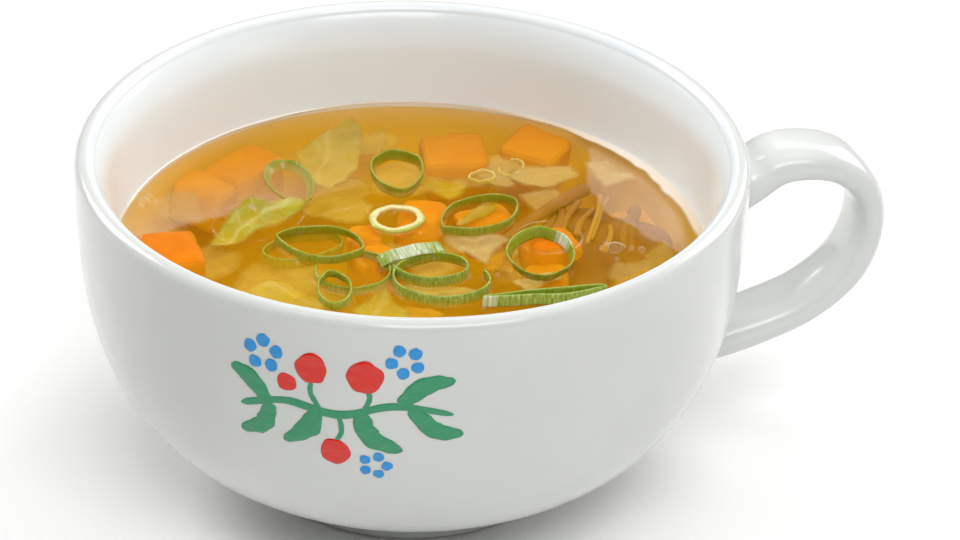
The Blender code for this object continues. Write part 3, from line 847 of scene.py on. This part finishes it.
def makeBroth():
    look = brothLook
    walls = [p for ring in springOnions["rings"].values() for p in ringRoute(ring, 90)[0]
             if ring["top"] > level / mm > ring["top"] - ring["tall"]]
    nearWall = kdtree.KDTree(len(walls))
    for i, p in enumerate(walls):
        nearWall.insert((p.x, p.y, 0), i)
    nearWall.balance()
    quarter = [insideAt(math.radians(t / 4)) for t in range(360)]
    shoreRadius = next(p.x for p in quarter if p.y < level / mm)
    outer = shoreRadius + look["intoWall"]
    shares = [(i / look["across"]) ** look["acrossPower"] for i in range(look["across"] + 1)]
    line = [Vector((outer * (1 - share), level / mm)) for share in shares]
    below = [insideAt(math.radians(t), look["intoWall"]) for t in range(10, 91, 4)]
    below = [p for p in below if p.y < level / mm - 1.5]
    below[-1].x = 0
    bm = bmesh.new()
    turnProfile(bm, line[::-1] + below, look["around"])
    brothHighlight = bm.verts.layers.float.new("brothHighlight")
    for vert in bm.verts:
        if abs(vert.co.z - level) > 1e-5:
            continue
        x, y = vert.co.x / mm, vert.co.y / mm
        inward = shoreRadius - math.hypot(x, y)
        lift = look["edge"] * math.exp(-max(inward, 0) / look["edgeReach"])
        lift += look["rise"] * math.exp(-nearWall.find((x, y, 0))[2] / look["riseReach"])
        vert.co.z += lift * mm
        # the painted highlight along the waterline, strongest at the wall and fading inwards
        width, pale = brothHighlightAt(math.degrees(math.atan2(y, x)))
        k = min(max((1 - inward / width) / look["brothHighlightFade"], 0), 1)
        vert[brothHighlight] = pale * k * k * (3 - 2 * k)
    finishMesh(bm, "brothClear", [newMaterial("clearBroth", clearBroth)], ["broth"])


# Diced carrot, with each die's middle, size, turn and top in mm and degrees.
carrotDice = dict(
    orange=("#E27803", "#E88406"), fibre="#F0981C", rounding=1.7, lump=0.45,
    sunk=[
        dict(at=(14, 35.5), size=(12, 12.6, 8), turn=-3, top=41.4),
        dict(at=(29.2, 36), size=(11, 10, 8), turn=-38, top=41.4, tilt=(5, 6)),
        dict(at=(-24.5, 36.5), size=(9.5, 12.5, 8), turn=-52, top=41.0, tilt=(3, -3)),
        dict(at=(-32.5, 31), size=(10.5, 9, 8), turn=-35, top=40.2, tilt=(-6, 5)),
        dict(at=(3.6, 11), size=(8.5, 12.5, 8), turn=-16, top=41.8, tilt=(3, 2)),
        dict(at=(-7, 8), size=(6, 7, 6), turn=-8, top=41.4),
        dict(at=(-6, -0.8), size=(8.5, 9.5, 7), turn=24, top=41.6, tilt=(-4, 3)),
        dict(at=(14.9, 10.4), size=(10, 8, 7), turn=12, top=41.7),
        dict(at=(24.2, -1.6), size=(10.5, 9, 7), turn=14, top=43.2, rounding=2.6),
        dict(at=(22, -8.5), size=(8, 6, 6), turn=-12, top=40.9),
        dict(at=(41.5, 9), size=(7.5, 7.5, 6), turn=4, top=39.6),
        dict(at=(-27, -30), size=(11, 10, 8), turn=30, top=41.4),
        dict(at=(8, -39), size=(11, 9.5, 8), turn=-14, top=41.0),
        dict(at=(36, -24), size=(10, 10.5, 8), turn=52, top=41.3),
        dict(at=(-44, -14), size=(9, 9, 8), turn=12, top=39.5),
        dict(at=(4, -27), size=(9, 8, 7), turn=36, top=39.0),
    ],
    surface=dict(at=(-41.4, 4.4), size=(10.6, 12.6, 8.6), turn=4, top=43.3),
)


# Boiled carrot: waxy, faintly mottled, with soft cut edges.
def boiledCarrot(tree, place):
    look = carrotDice
    mottle = patches(tree, place, 260, 4, 0.35, 0.65)                                    # 4 mm
    fibre = addNode(tree, "TexNoise", {"Vector": place, "Scale": 1400, "Detail": 3})     # 0.7 mm
    pale = addNode(tree, "MapRange", {"Value": fibre, "From Min": 0.55, "From Max": 0.8, "To Max": 0.3})
    flesh = addNode(tree, "Mix", {0: mottle, 6: look["orange"][0], 7: look["orange"][1]}, **colourMix)
    colour = addNode(tree, "Mix", {0: pale, 6: flesh, 7: look["fibre"]}, **colourMix)
    colour = throughBroth(tree, place, colour, brothLook["amber"], brothLook["fog"]["carrot"])
    relief = addNode(tree, "Bump", {"Height": fibre, "Strength": 1.0, "Distance": 0.06 * mm})
    return addNode(tree, "BsdfPrincipled", {"Base Color": colour, "Roughness": 0.5,
                                            "Specular IOR Level": 0.08, "Normal": relief})


# A cube cut by hand: soft edges, and faces that aren't quite flat.
def addDie(bm, die, seed):
    part = bmesh.new()
    bmesh.ops.create_cube(part, size=1)
    bmesh.ops.scale(part, vec=Vector(die["size"]) * mm, verts=part.verts)
    bmesh.ops.bevel(part, geom=part.edges[:], offset=die.get("rounding", carrotDice["rounding"]) * mm,
                    segments=3, profile=0.5, affect="EDGES", material=-1)
    bmesh.ops.subdivide_edges(part, edges=part.edges[:], cuts=3, use_grid_fill=True)
    for vert in part.verts:
        vert.co += noise.noise_vector(vert.co * 190 + Vector((seed * 5, 0, 0))) * carrotDice["lump"] * mm
    addPart(bm, part, (*die["at"], die["top"] - die["size"][2] / 2), *die.get("tilt", (0, 0)), die["turn"])


def makeCarrots():
    finish = newMaterial("boiledCarrot", boiledCarrot)
    bm = bmesh.new()
    for seed, die in enumerate(carrotDice["sunk"]):
        addDie(bm, die, seed)
    finishMesh(bm, "carrotDice", [finish])
    bm = bmesh.new()
    addDie(bm, carrotDice["surface"], 40)
    finishMesh(bm, "carrotAtSurface", [finish], ["carrot_at_surface"])


# Sheets of boiled cabbage and onion. Each: corners round its edge in mm from its middle, the
# middle's place and height, which way its mid rib runs, how green it is, how solid, and how
# many mm its edge takes to fade.
leafSheets = dict(
    white=("#C0AE86", "#CCC0A0"), green=("#9C940A", "#B6AA1E"), brown=("#B8660F", "#D08A28"), vein="#E6DA9E",
    veinApart=4.2, sag=0.8, crinkle=0.3, soft=1.9, solid=0.9, edgeSteps=240, straight=0.55, cells=30,
    sunk=[
        dict(at=(-9.5, 37.5), top=41.5,
             corners=[(-6, 1), (-5, -8), (-1, -13), (5, -8), (8, 6), (6.5, 10.5), (1, 7), (-3.5, 2.5)],
             rib=72, tone=0.75, tilt=(3, -6), soft=1.2),
        dict(at=(0, 40), top=40.8, corners=[(-3, 5.5), (3, 5), (3, 0), (0, -5.5), (-4, -4)], rib=60,
             tone=0.45, solid=0.5),
        dict(at=(-10, 25), top=40.2, corners=[(-6, -2), (-1.5, 5), (6, 4), (8, 0), (5, -4), (-2, -4)],
             rib=10, tone=0.7, solid=0.5),
        dict(at=(-10.5, 17.5), top=40.4,
             corners=[(-7, 2), (-4, 5.5), (5, 5), (7.5, 0), (4, -5.5), (-1, -5), (-5, -2)], rib=12,
             tone=0.75, solid=0.6),
        dict(at=(-37.5, 20.5), top=40.8,
             corners=[(-6, 4), (-2, 7.5), (3, 8), (4.5, 0), (4, -5), (-2, -5), (-6, -1)], rib=40, tone=0.35,
             solid=0.4, soft=3.0),
        dict(at=(-23.5, -11), top=41.6,
             corners=[(-7, 2), (-3, 5), (1, 4), (4, 1), (6.5, -5), (4, -9), (-4, -7)], rib=-40, tone=0.85,
             tilt=(-3, 3), solid=0.8),
        dict(at=(-9, -18), top=41.7, corners=[(-5, -1), (0, 5), (3, 7), (4, 1), (6, -3), (4, -8), (-4, -6)],
             rib=60, tone=0.9, solid=0.85),
        dict(at=(-17.5, -8), top=41.0,
             corners=[(-6, 3), (-3, 8), (1, 7), (2, -1), (6, -6), (4, -10), (-2, -8)], rib=-35, tone=0.8,
             solid=0.4, soft=2.0),
        dict(at=(29, 23.5), top=40.9, corners=[(-8, 0.5), (-4, 4), (5, 4), (6, -1), (1, -4), (-5, -3)],
             rib=5, tone=0.15, soft=1.5, solid=0.75),
        dict(at=(40.5, 22.8), top=41.3,
             corners=[(-4.5, 5), (0, 5), (3, 1.5), (4.5, -3.5), (-2, -5.5), (-4, -2)], rib=-30, tone=0.12,
             solid=0.8),
        dict(at=(10.5, 21), top=41.2, corners=[(-5, 3), (0, 3.5), (4, 1), (2, -3), (-1, -4), (-4, -1)],
             rib=8, tone=1.0, solid=0.7),
        dict(at=(13.4, 10.4), top=42.3,
             corners=[(-4.6, -4), (-1, 0.6), (4, 4), (4.6, 1.6), (1.5, -2), (-3, -4.6)], rib=42, tone=1.0,
             solid=0.6, soft=0.8),
        dict(at=(20.5, 26), top=41.0,
             corners=[(-5, 0), (-2, 3), (1, 7), (4, 5), (5, 2), (2, -1), (2, -6), (-2, -5)], rib=55,
             tone=0.05, solid=0.5, soft=1.2),
        dict(at=(27, 15.5), top=40.6, corners=[(-5, 3), (3, 4), (4, -2), (-2, -5)], rib=20, tone=0.2,
             solid=0.5, soft=1.6),
        dict(at=(11.8, -0.5), top=41.9,
             corners=[(-6, 5), (0, 5.5), (5, 4.5), (6.5, 1.5), (2, -4), (0, -7.5), (-3, -3), (-6, 0)],
             rib=-50, tone=0.05, solid=0.75),
        dict(at=(14.5, -5.8), top=41.2, corners=[(-3, 1), (0, 3), (2.5, 2), (2, -3), (-3, -2.5)], rib=20,
             brown=True, soft=0.8),
        dict(at=(20, -13), top=41.5, corners=[(-5, 1), (5, 2.5), (3, -1), (-3, -3)], rib=12, tone=0.35,
             soft=1.0, solid=0.8),
        dict(at=(2, -14), top=41.3, corners=[(-7, 3), (0, 4), (7, 0), (7, -3), (-6, -2)], rib=-5, tone=0.6,
             soft=1.0, solid=0.8),
        dict(at=(-1.5, -20.5), top=41.2, corners=[(-4, 2), (2, 2), (4, -1), (-3, -3)], rib=0, brown=True,
             soft=0.8),
        dict(at=(36.5, -11.5), top=41.0, corners=[(-5, -2), (-3, 3), (4, 4), (4, 0), (0, -5)], rib=25,
             tone=0.2, solid=0.4, soft=1.6),
        dict(at=(34, -16), top=40.8, corners=[(-5, -3), (0, 4), (8, 5), (4, -3)], rib=35, brown=True,
             solid=0.6, soft=1.5),
        dict(at=(-38, -14), top=40.6, corners=[(-5, -6), (-5, 3), (0, 8), (5, 5), (5, -4), (1, -8)], rib=70,
             tone=0.5),
        dict(at=(-14, -41), top=40.9, corners=[(-8, -2), (-6, 4), (0, 6), (7, 4), (8, -2), (2, -5)], rib=-8,
             tone=0.8),
        dict(at=(21, -31), top=40.8, corners=[(-8, -4), (-6, 4), (0, 7), (7, 6), (8, -1), (2, -6)], rib=25,
             tone=0.6),
        dict(at=(43, -8), top=40.3, corners=[(-4, -6), (-3, 4), (2, 7), (4, 0), (2, -7)], rib=75, tone=0.3,
             solid=0.4, soft=1.8),
        dict(at=(-36, 4), top=39.5, corners=[(-7, -4), (-5, 4), (2, 7), (8, 3), (6, -4), (-1, -7)], rib=30,
             tone=0.4, solid=0.5, soft=2.5),
        dict(at=(-24, -3), top=39.2, corners=[(-9, -5), (-6, 5), (2, 8), (9, 3), (8, -5), (-1, -8)],
             rib=-20, tone=0.35, solid=0.5, soft=2.5),
        dict(at=(20, 30), top=38.8, corners=[(-9, -4), (-6, 5), (2, 8), (9, 3), (8, -4), (-1, -6)], rib=-12,
             tone=0.3, solid=0.6, soft=2.5),
        dict(at=(4, 30), top=39.0, corners=[(-8, -5), (-6, 5), (2, 8), (8, 4), (7, -5), (0, -8)], rib=24,
             tone=0.5, solid=0.6, soft=2.5),
        dict(at=(0, 0), top=39.4, corners=[(-9, -6), (-8, 5), (1, 8), (9, 4), (8, -5), (0, -8)], rib=14,
             tone=0.4, solid=0.7, soft=2.5),
        dict(at=(22, -2), top=38.6, corners=[(-9, -6), (-8, 5), (1, 8), (9, 4), (8, -5), (0, -8)], rib=64,
             tone=0.3, solid=0.5, soft=2.5),
        dict(at=(-4, 44), top=38.5, corners=[(-10, -3), (-8, 3), (1, 4), (10, 3), (9, -2), (0, -5)], rib=4,
             tone=0.7, solid=0.6, soft=2.0),
        dict(at=(-30, -31), top=40.6, corners=[(-6, -3), (-5, 4), (1, 7), (6, 3), (5, -3), (0, -6)], rib=50,
             tone=0.7),
        dict(at=(6, -35), top=41.2, corners=[(-6, -3), (-4, 4), (2, 5), (7, 1), (4, -4), (-1, -5)], rib=-30,
             tone=0.45),
        dict(at=(12, -44), top=40.5, corners=[(-9, 2), (-4, 6), (3, 5), (9, 3), (5, -3), (-5, -3)], rib=10,
             tone=0.85),
        dict(at=(33, -30), top=40.4, corners=[(-6, -5), (-5, 3), (0, 6), (6, 4), (5, -3), (0, -6)], rib=65,
             tone=0.3),
        dict(at=(-20, -33), top=39.4, corners=[(-8, -4), (-6, 5), (2, 7), (8, 3), (7, -4), (0, -7)],
             rib=-20, tone=0.4, soft=2.0),
    ],
    surface=[
        dict(at=(-25, 12.4), top=43.05,
             corners=[(-10, -8), (-8, -3), (-5, 3), (-1, 8), (3, 5), (7, 6), (10, 4), (6, -1), (1, -4),
                      (-4, -7)], rib=42, tone=0.9, soft=2.0, tilt=(4, -1), solid=0.95),
    ],
)


sheetMarks = ("tone", "brown", "cover")     # how green, whether browned, and how solid: at each point


# Boiled cabbage and onion: soft sheets that light gets into, yellow-green to near white, with
# paler veins that branch off a mid rib.
def boiledLeaf(tree, place):
    look = leafSheets
    along = addNode(tree, "SeparateXYZ", {"Vector": addNode(tree, "UVMap", uv_map="UVMap")}, out="X")
    across = along.node.outputs["Y"]
    bend = addNode(tree, "TexNoise", {"Vector": place, "Scale": 130, "Detail": 3})
    wander = addNode(tree, "Math", {0: bend, 1: 5.0, 2: across}, operation="MULTIPLY_ADD")
    aside = addNode(tree, "Math", {0: wander, 1: 2.5}, operation="SUBTRACT")
    aside = addNode(tree, "Math", {0: aside}, operation="ABSOLUTE")             # mm off the mid rib
    midRib = addNode(tree, "MapRange", {"Value": aside, "From Min": 0.9, "From Max": 0.15, "To Max": 0.7})
    lean = addNode(tree, "Math", {0: aside, 1: -0.8, 2: along}, operation="MULTIPLY_ADD")
    sway = addNode(tree, "Math", {0: bend, 1: 9.0, 2: lean}, operation="MULTIPLY_ADD")
    comb = addNode(tree, "Math", {0: sway, 1: look["veinApart"] / 2}, operation="PINGPONG")
    branch = addNode(tree, "MapRange", {"Value": comb, "From Min": 0.35, "From Max": 0.0, "To Max": 0.4})
    vein = addNode(tree, "Math", {0: midRib, 1: branch}, operation="MAXIMUM")
    tone, brown, cover = (addNode(tree, "Attribute", out="Fac", attribute_name=mark) for mark in sheetMarks)
    mottle = patches(tree, place, 200, 4, 0.3, 0.7)                             # 5 mm
    tones = {key: addNode(tree, "Mix", {0: mottle, 6: look[key][0], 7: look[key][1]}, **colourMix)
             for key in ("white", "green", "brown")}
    leaf = addNode(tree, "Mix", {0: tone, 6: tones["white"], 7: tones["green"]}, **colourMix)
    faint = addNode(tree, "Math", {0: vein, 1: 0.5}, operation="MULTIPLY")
    veined = addNode(tree, "Mix", {0: faint, 6: leaf, 7: look["vein"]}, **colourMix)
    colour = addNode(tree, "Mix", {0: brown, 6: veined, 7: tones["brown"]}, **colourMix)
    colour = throughBroth(tree, place, colour, brothLook["amber"], brothLook["fog"]["leaf"])
    relief = addNode(tree, "Bump", {"Height": vein, "Strength": 1.0, "Distance": 0.1 * mm})
    sheet = addNode(tree, "BsdfPrincipled", {"Base Color": colour, "Roughness": 0.45,
                                             "Specular IOR Level": 0.12, "Normal": relief})
    clear = addNode(tree, "BsdfTransparent")
    return addNode(tree, "MixShader", {0: cover, 1: clear, 2: sheet})


# A crinkled sheet, cut by hand: its edge runs fairly straight between its corners.
def addSheet(bm, sheet, seed):
    look = leafSheets
    corners = [Vector((*c, 0)) for c in sheet["corners"]]
    looped = [corners[-2], corners[-1], *corners, corners[0], corners[1], corners[2]]
    edge = []
    for i in range(look["edgeSteps"]):
        k = i / look["edgeSteps"] * len(corners)
        bowed = curvePoint(looped, (2 + k) / (len(looped) - 1))
        straight = corners[int(k)].lerp(corners[(int(k) + 1) % len(corners)], k % 1)
        point = bowed.lerp(straight, look["straight"])
        edge.append((math.atan2(point.y, point.x), point.length))
    edge.sort()
    angles = [a for a, r in edge]
    part = bmesh.new()
    uv = part.loops.layers.uv.new("UVMap")
    tone, brown, cover = (part.verts.layers.float.new(mark) for mark in sheetMarks)
    bmesh.ops.create_grid(part, x_segments=look["cells"], y_segments=look["cells"], size=1)
    start = Vector((seed * 7.3, 0, 0))
    for vert in part.verts:
        u, v = squareToDisc(vert.co)
        angle, reach = math.atan2(v, u), min(math.hypot(u, v), 1)
        spin = Vector((math.cos(angle), math.sin(angle), 0))
        limit = edge[bisect.bisect(angles, angle) % len(edge)][1]
        limit *= 1 + 0.05 * noise.noise(start + spin * 5) + 0.03 * noise.noise((start + spin * 5) * 3)
        flat = spin * reach * limit
        slow, quick = noise.noise(start + flat * 0.2), noise.noise(start + flat * 0.55 + up * 3)
        vert.co = (flat + up * (look["sag"] * slow + look["crinkle"] * quick)) * mm
        vert[tone] = sheet.get("tone", 0.5) + 0.15 * noise.noise(start + flat * 0.3 + up * 9)
        vert[brown] = float(sheet.get("brown", False))
        margin = min((1 - reach) * limit / sheet.get("soft", look["soft"]), 1)
        vert[cover] = margin * margin * (3 - 2 * margin) * sheet.get("solid", look["solid"])
    ribTurn = turned(0, 0, -sheet["rib"])
    for face in part.faces:
        for loop in face.loops:
            loop[uv].uv = (ribTurn @ loop.vert.co / mm).xy
    addPart(bm, part, (*sheet["at"], sheet["top"]), *sheet.get("tilt", (0, 0)), 0)


def makeLeaves():
    finish = newMaterial("boiledLeaf", boiledLeaf)
    for name, where, nodes in (("cabbageAndOnion", "sunk", []),
                               ("cabbageAtSurface", "surface", ["cabbage_at_surface"])):
        bm = bmesh.new()
        bm.loops.layers.uv.new("UVMap")
        for mark in sheetMarks:
            bm.verts.layers.float.new(mark)
        for seed, sheet in enumerate(leafSheets[where]):
            addSheet(bm, sheet, seed + len(name))
        finishMesh(bm, name, [finish], nodes)


# Simmered mushrooms: stems by their routes, widths at start and end and how dark they are, and
# caps by the middle of the cap's edge, its width, height and tilt, in mm and degrees.
mushroomPieces = dict(
    pale=("#B87A18", "#D2A044"), dark=("#702200", "#8E3604"), strandAndSheen="#D89C38",
    steps=26, uneven=0.12, lump=0.7,
    stems=[
        dict(route=[(17.5, 3.5, 40.6), (23, 8, 41.3), (29, 12.6, 41.7), (34.6, 16.6, 41.9)],
             width=(1.6, 3.0), dark=0.62),
        dict(route=[(30.9, -1, 40.9), (33.1, 4, 41.5), (35.2, 9, 41.9), (36.4, 13.4, 42.1)],
             width=(0.7, 1.1), dark=0.05),
        dict(route=[(32, 0.2, 40.9), (34.2, 5, 41.5), (36, 9.4, 41.8), (37.9, 12.8, 42.0)],
             width=(0.6, 0.8), dark=0.15),
        dict(route=[(27.6, 5, 40.2), (29.4, 8.6, 40.9), (32.6, 13.4, 41.4)], width=(1.5, 1.3), dark=0.6),
        dict(route=[(25.2, 3.6, 40.0), (27.8, 7, 40.6), (29, 11, 41.0)], width=(2.2, 1.5), dark=0.8),
        dict(route=[(33.2, -4.4, 40.8), (35.4, 0.2, 41.5), (36, 3.4, 41.7)], width=(1.2, 0.8), dark=0.2),
        dict(route=[(30, 3, 40.2), (31.4, 6.4, 40.9), (34.6, 10, 41.4)], width=(1.4, 1.0), dark=0.55),
        dict(route=[(37.4, -2, 40.0), (38.2, 2, 40.6), (41, 8, 40.8)], width=(1.8, 1.3), dark=0.75),
        dict(route=[(38, -3, 39.2), (39.5, 2, 40.0), (41, 7, 40.4), (42.4, 11, 40.2)], width=(2.0, 2.4),
             dark=0.85),
        dict(route=[(22, 3, 39.0), (26, 8, 39.8), (30, 15, 40.0)], width=(2.2, 1.8), dark=0.85),
    ],
    # a cap's section from its top over the rim and in under it, as shares of its radius and height
    capCurve=[(0, 1), (0.3, 0.96), (0.6, 0.78), (0.85, 0.45), (1, 0), (0.94, -0.22), (0.75, -0.16),
              (0.4, 0.1), (0, 0.2)],
    caps=[
        dict(at=(38, 1, 36.2), width=20, high=4.4, tilt=(8, 8)),
        dict(at=(31, -4, 36.4), width=15, high=4.4, tilt=(-4, -6)),
        dict(at=(31.5, 8, 36.4), width=16, high=4.2, tilt=(4, -6)),
        dict(at=(43, 5, 36.8), width=10, high=3.4, tilt=(0, 10)),
    ],
)


# Simmered mushroom: slick brown caps and fibrous tan stems.
def simmeredMushroom(tree, place):
    look = mushroomPieces
    dark = addNode(tree, "Attribute", out="Fac", attribute_name="dark")
    uv = addNode(tree, "UVMap", uv_map="UVMap")
    strands = addNode(tree, "Mapping", {"Vector": uv, "Scale": (0.25, 14, 1)})
    fibre = addNode(tree, "TexNoise", {"Vector": strands, "Scale": 1.6, "Detail": 3})
    mottle = patches(tree, place, 260, 4, 0.3, 0.7)                                        # 4 mm
    stem = addNode(tree, "Mix", {0: fibre, 6: look["pale"][0], 7: look["pale"][1]}, **colourMix)
    cap = addNode(tree, "Mix", {0: mottle, 6: look["dark"][0], 7: look["dark"][1]}, **colourMix)
    flesh = addNode(tree, "Mix", {0: dark, 6: stem, 7: cap}, **colourMix)
    # paler strands along the fibre, partly a painted sheen
    shine = addNode(tree, "MapRange", {"Value": fibre, "From Min": 0.5, "From Max": 0.75, "To Max": 0.25})
    colour = addNode(tree, "Mix", {0: shine, 6: flesh, 7: look["strandAndSheen"]}, **colourMix)
    colour = throughBroth(tree, place, colour, brothLook["deepWall"], brothLook["fog"]["mushroom"])
    relief = addNode(tree, "Bump", {"Height": fibre, "Strength": 1.0, "Distance": 0.08 * mm})
    return addNode(tree, "BsdfPrincipled", {"Base Color": colour, "Roughness": 0.4,
                                            "Specular IOR Level": 0.2, "Normal": relief})


def makeStems(bm):
    dark = bm.verts.layers.float["dark"]
    steps = mushroomPieces["steps"]
    for stem in mushroomPieces["stems"]:
        points = [curvePoint(stem["route"], i / steps) for i in range(steps + 1)]
        stations = []
        for i, here in enumerate(points):
            along = (points[min(i + 1, steps)] - points[max(i - 1, 0)]).normalized()
            side = along.cross(up).normalized()
            over = side.cross(along)
            wide = stem["width"][0] + (stem["width"][1] - stem["width"][0]) * i / steps
            wide *= 1 + mushroomPieces["uneven"] * noise.noise(here * 0.5)
            wide *= (0.55, 0.9, 1)[min(i, steps - i, 2)]      # rounded ends

            def station(w, h, here=here, side=side, over=over, wide=wide):
                return (here + (side * w + over * h) * wide) * mm
            stations.append(station)
        before = set(bm.verts)
        sweep(bm, roundedSection(1, 0.8, 2.2, 16), stations)
        for vert in bm.verts:
            if vert not in before:
                vert[dark] = stem["dark"]


def makeMushrooms():
    bm = bmesh.new()
    bm.verts.layers.float.new("dark")
    makeStems(bm)
    for cap in mushroomPieces["caps"]:
        part = bmesh.new()
        wide, high = cap["width"] / 2, cap["high"]
        turnProfile(part, [(wide * out, high * rise) for out, rise in mushroomPieces["capCurve"]], 36)
        bmesh.ops.subdivide_edges(part, edges=part.edges[:], cuts=1, use_grid_fill=True, smooth=0.6)
        dark = part.verts.layers.float.new("dark")
        for vert in part.verts:
            vert.co += noise.noise_vector(vert.co * 180 + Vector((wide, 0, 0))) * mushroomPieces["lump"] * mm
            vert[dark] = 1.0
        bmesh.ops.recalc_face_normals(part, faces=part.faces)
        addPart(bm, part, cap["at"], *cap["tilt"], 0)
    bmesh.ops.recalc_face_normals(bm, faces=bm.faces)
    finishMesh(bm, "mushrooms", [newMaterial("simmeredMushroom", simmeredMushroom)])


# Bubbles that float on the broth, and smaller ones that cling to the slices, this many to each; their pale
# rims are a painted highlight, and the small ones stand in for glints.
brothBubbles = dict(
    # pale colours of the painted highlight on the bubbles' rims
    skin=("#F6EBD6", "#FFFAF0"), flat=0.75, lift=0.12,
    clinging=dict(upright=16, spiral=14, flattened=6, folded=10, middle_left=8, curl=5, pale=6),
    bead=(0.12, 0.34),        # least and greatest radius of a small bubble that clings to a slice
    at=[   # middle from the bowl's axis and radius in mm
        (34.6, -6.6, 1.25), (33.3, -5.1, 0.55), (37.4, -7.2, 0.5), (39, -8, 0.7), (34, -10.5, 0.4),
        (32.2, -6.2, 0.35), (-44.3, 20.6, 1.0), (-43.3, 22.2, 0.8), (-45, 19, 0.6), (-42.2, 20.4, 0.5),
        (8.2, -3.2, 0.5), (9.8, -4.6, 0.35), (12.6, -12.9, 0.4), (-9.5, 12.7, 0.3), (-3.6, -2.8, 0.35),
        (19.3, 20.2, 0.3), (-20.5, -4.1, 0.35), (2, 2.9, 0.3), (43.5, -13, 0.6), (-23.2, 16.6, 0.4),
        (-21, 16, 0.3), (-19.2, 15.6, 0.45), (-17, 16, 0.3), (-30, -35, 0.7), (-29, -36.3, 0.5),
        (14, -44, 0.6), (15.3, -43.3, 0.4),
    ],
)


# A bubble's skin: clear in the middle, with a bright rim that is a painted highlight, pale and more solid
# where it is seen edge-on.
def bubbleSkin(tree, place):
    swirl = addNode(tree, "TexNoise", {"Vector": place, "Scale": 1500, "Detail": 2})       # 0.7 mm
    low, high = brothBubbles["skin"]
    colour = addNode(tree, "Mix", {0: swirl, 6: low, 7: high}, **colourMix)
    facing = addNode(tree, "LayerWeight", {"Blend": 0.5}, out="Facing")
    rim = addNode(tree, "MapRange", {"Value": facing, "From Min": 0.45, "From Max": 0.95,
                                     "To Min": 0.04, "To Max": 0.6})
    skin = addNode(tree, "BsdfPrincipled", {"Base Color": colour, "Roughness": 0.06, "IOR": 1.33})
    clear = addNode(tree, "BsdfTransparent")
    return addNode(tree, "MixShader", {0: rim, 1: clear, 2: skin})


def makeBubbles():
    bm = bmesh.new()
    for x, y, radius in brothBubbles["at"]:
        made = bmesh.ops.create_uvsphere(bm, u_segments=16, v_segments=10, radius=radius * mm)["verts"]
        bmesh.ops.scale(bm, vec=(1, 1, brothBubbles["flat"]), verts=made)
        bmesh.ops.translate(bm, vec=Vector((x, y, level / mm + brothBubbles["lift"])) * mm, verts=made)
    dice = random.Random(7)
    for key, count in brothBubbles["clinging"].items():
        route = ringRoute(springOnions["rings"][key], 90)[0]
        for bead in range(count):
            spot = dice.choice(route) + Vector((dice.uniform(-0.5, 0.5), dice.uniform(-0.7, 0.5), 0))
            radius = dice.uniform(*brothBubbles["bead"])
            made = bmesh.ops.create_uvsphere(bm, u_segments=10, v_segments=7, radius=radius * mm)["verts"]
            bmesh.ops.translate(bm, vec=Vector((spot.x, spot.y, level / mm + 0.1)) * mm, verts=made)
    finishMesh(bm, "brothBubbles", [newMaterial("bubbleSkin", bubbleSkin)])


scene.view_settings.view_transform = "Standard"
scene.cycles.transparent_max_bounces = 24
makeCamera()
makeLights()
makeFloor()
say("stage ready")
makeCup()
makePrint()
say("cup joined and painted")
makeBroth()
say("broth poured")
makeOnions()
say("spring onion scattered")
makeCarrots()
makeLeaves()
makeMushrooms()
makeBubbles()
say("vegetables sunk")
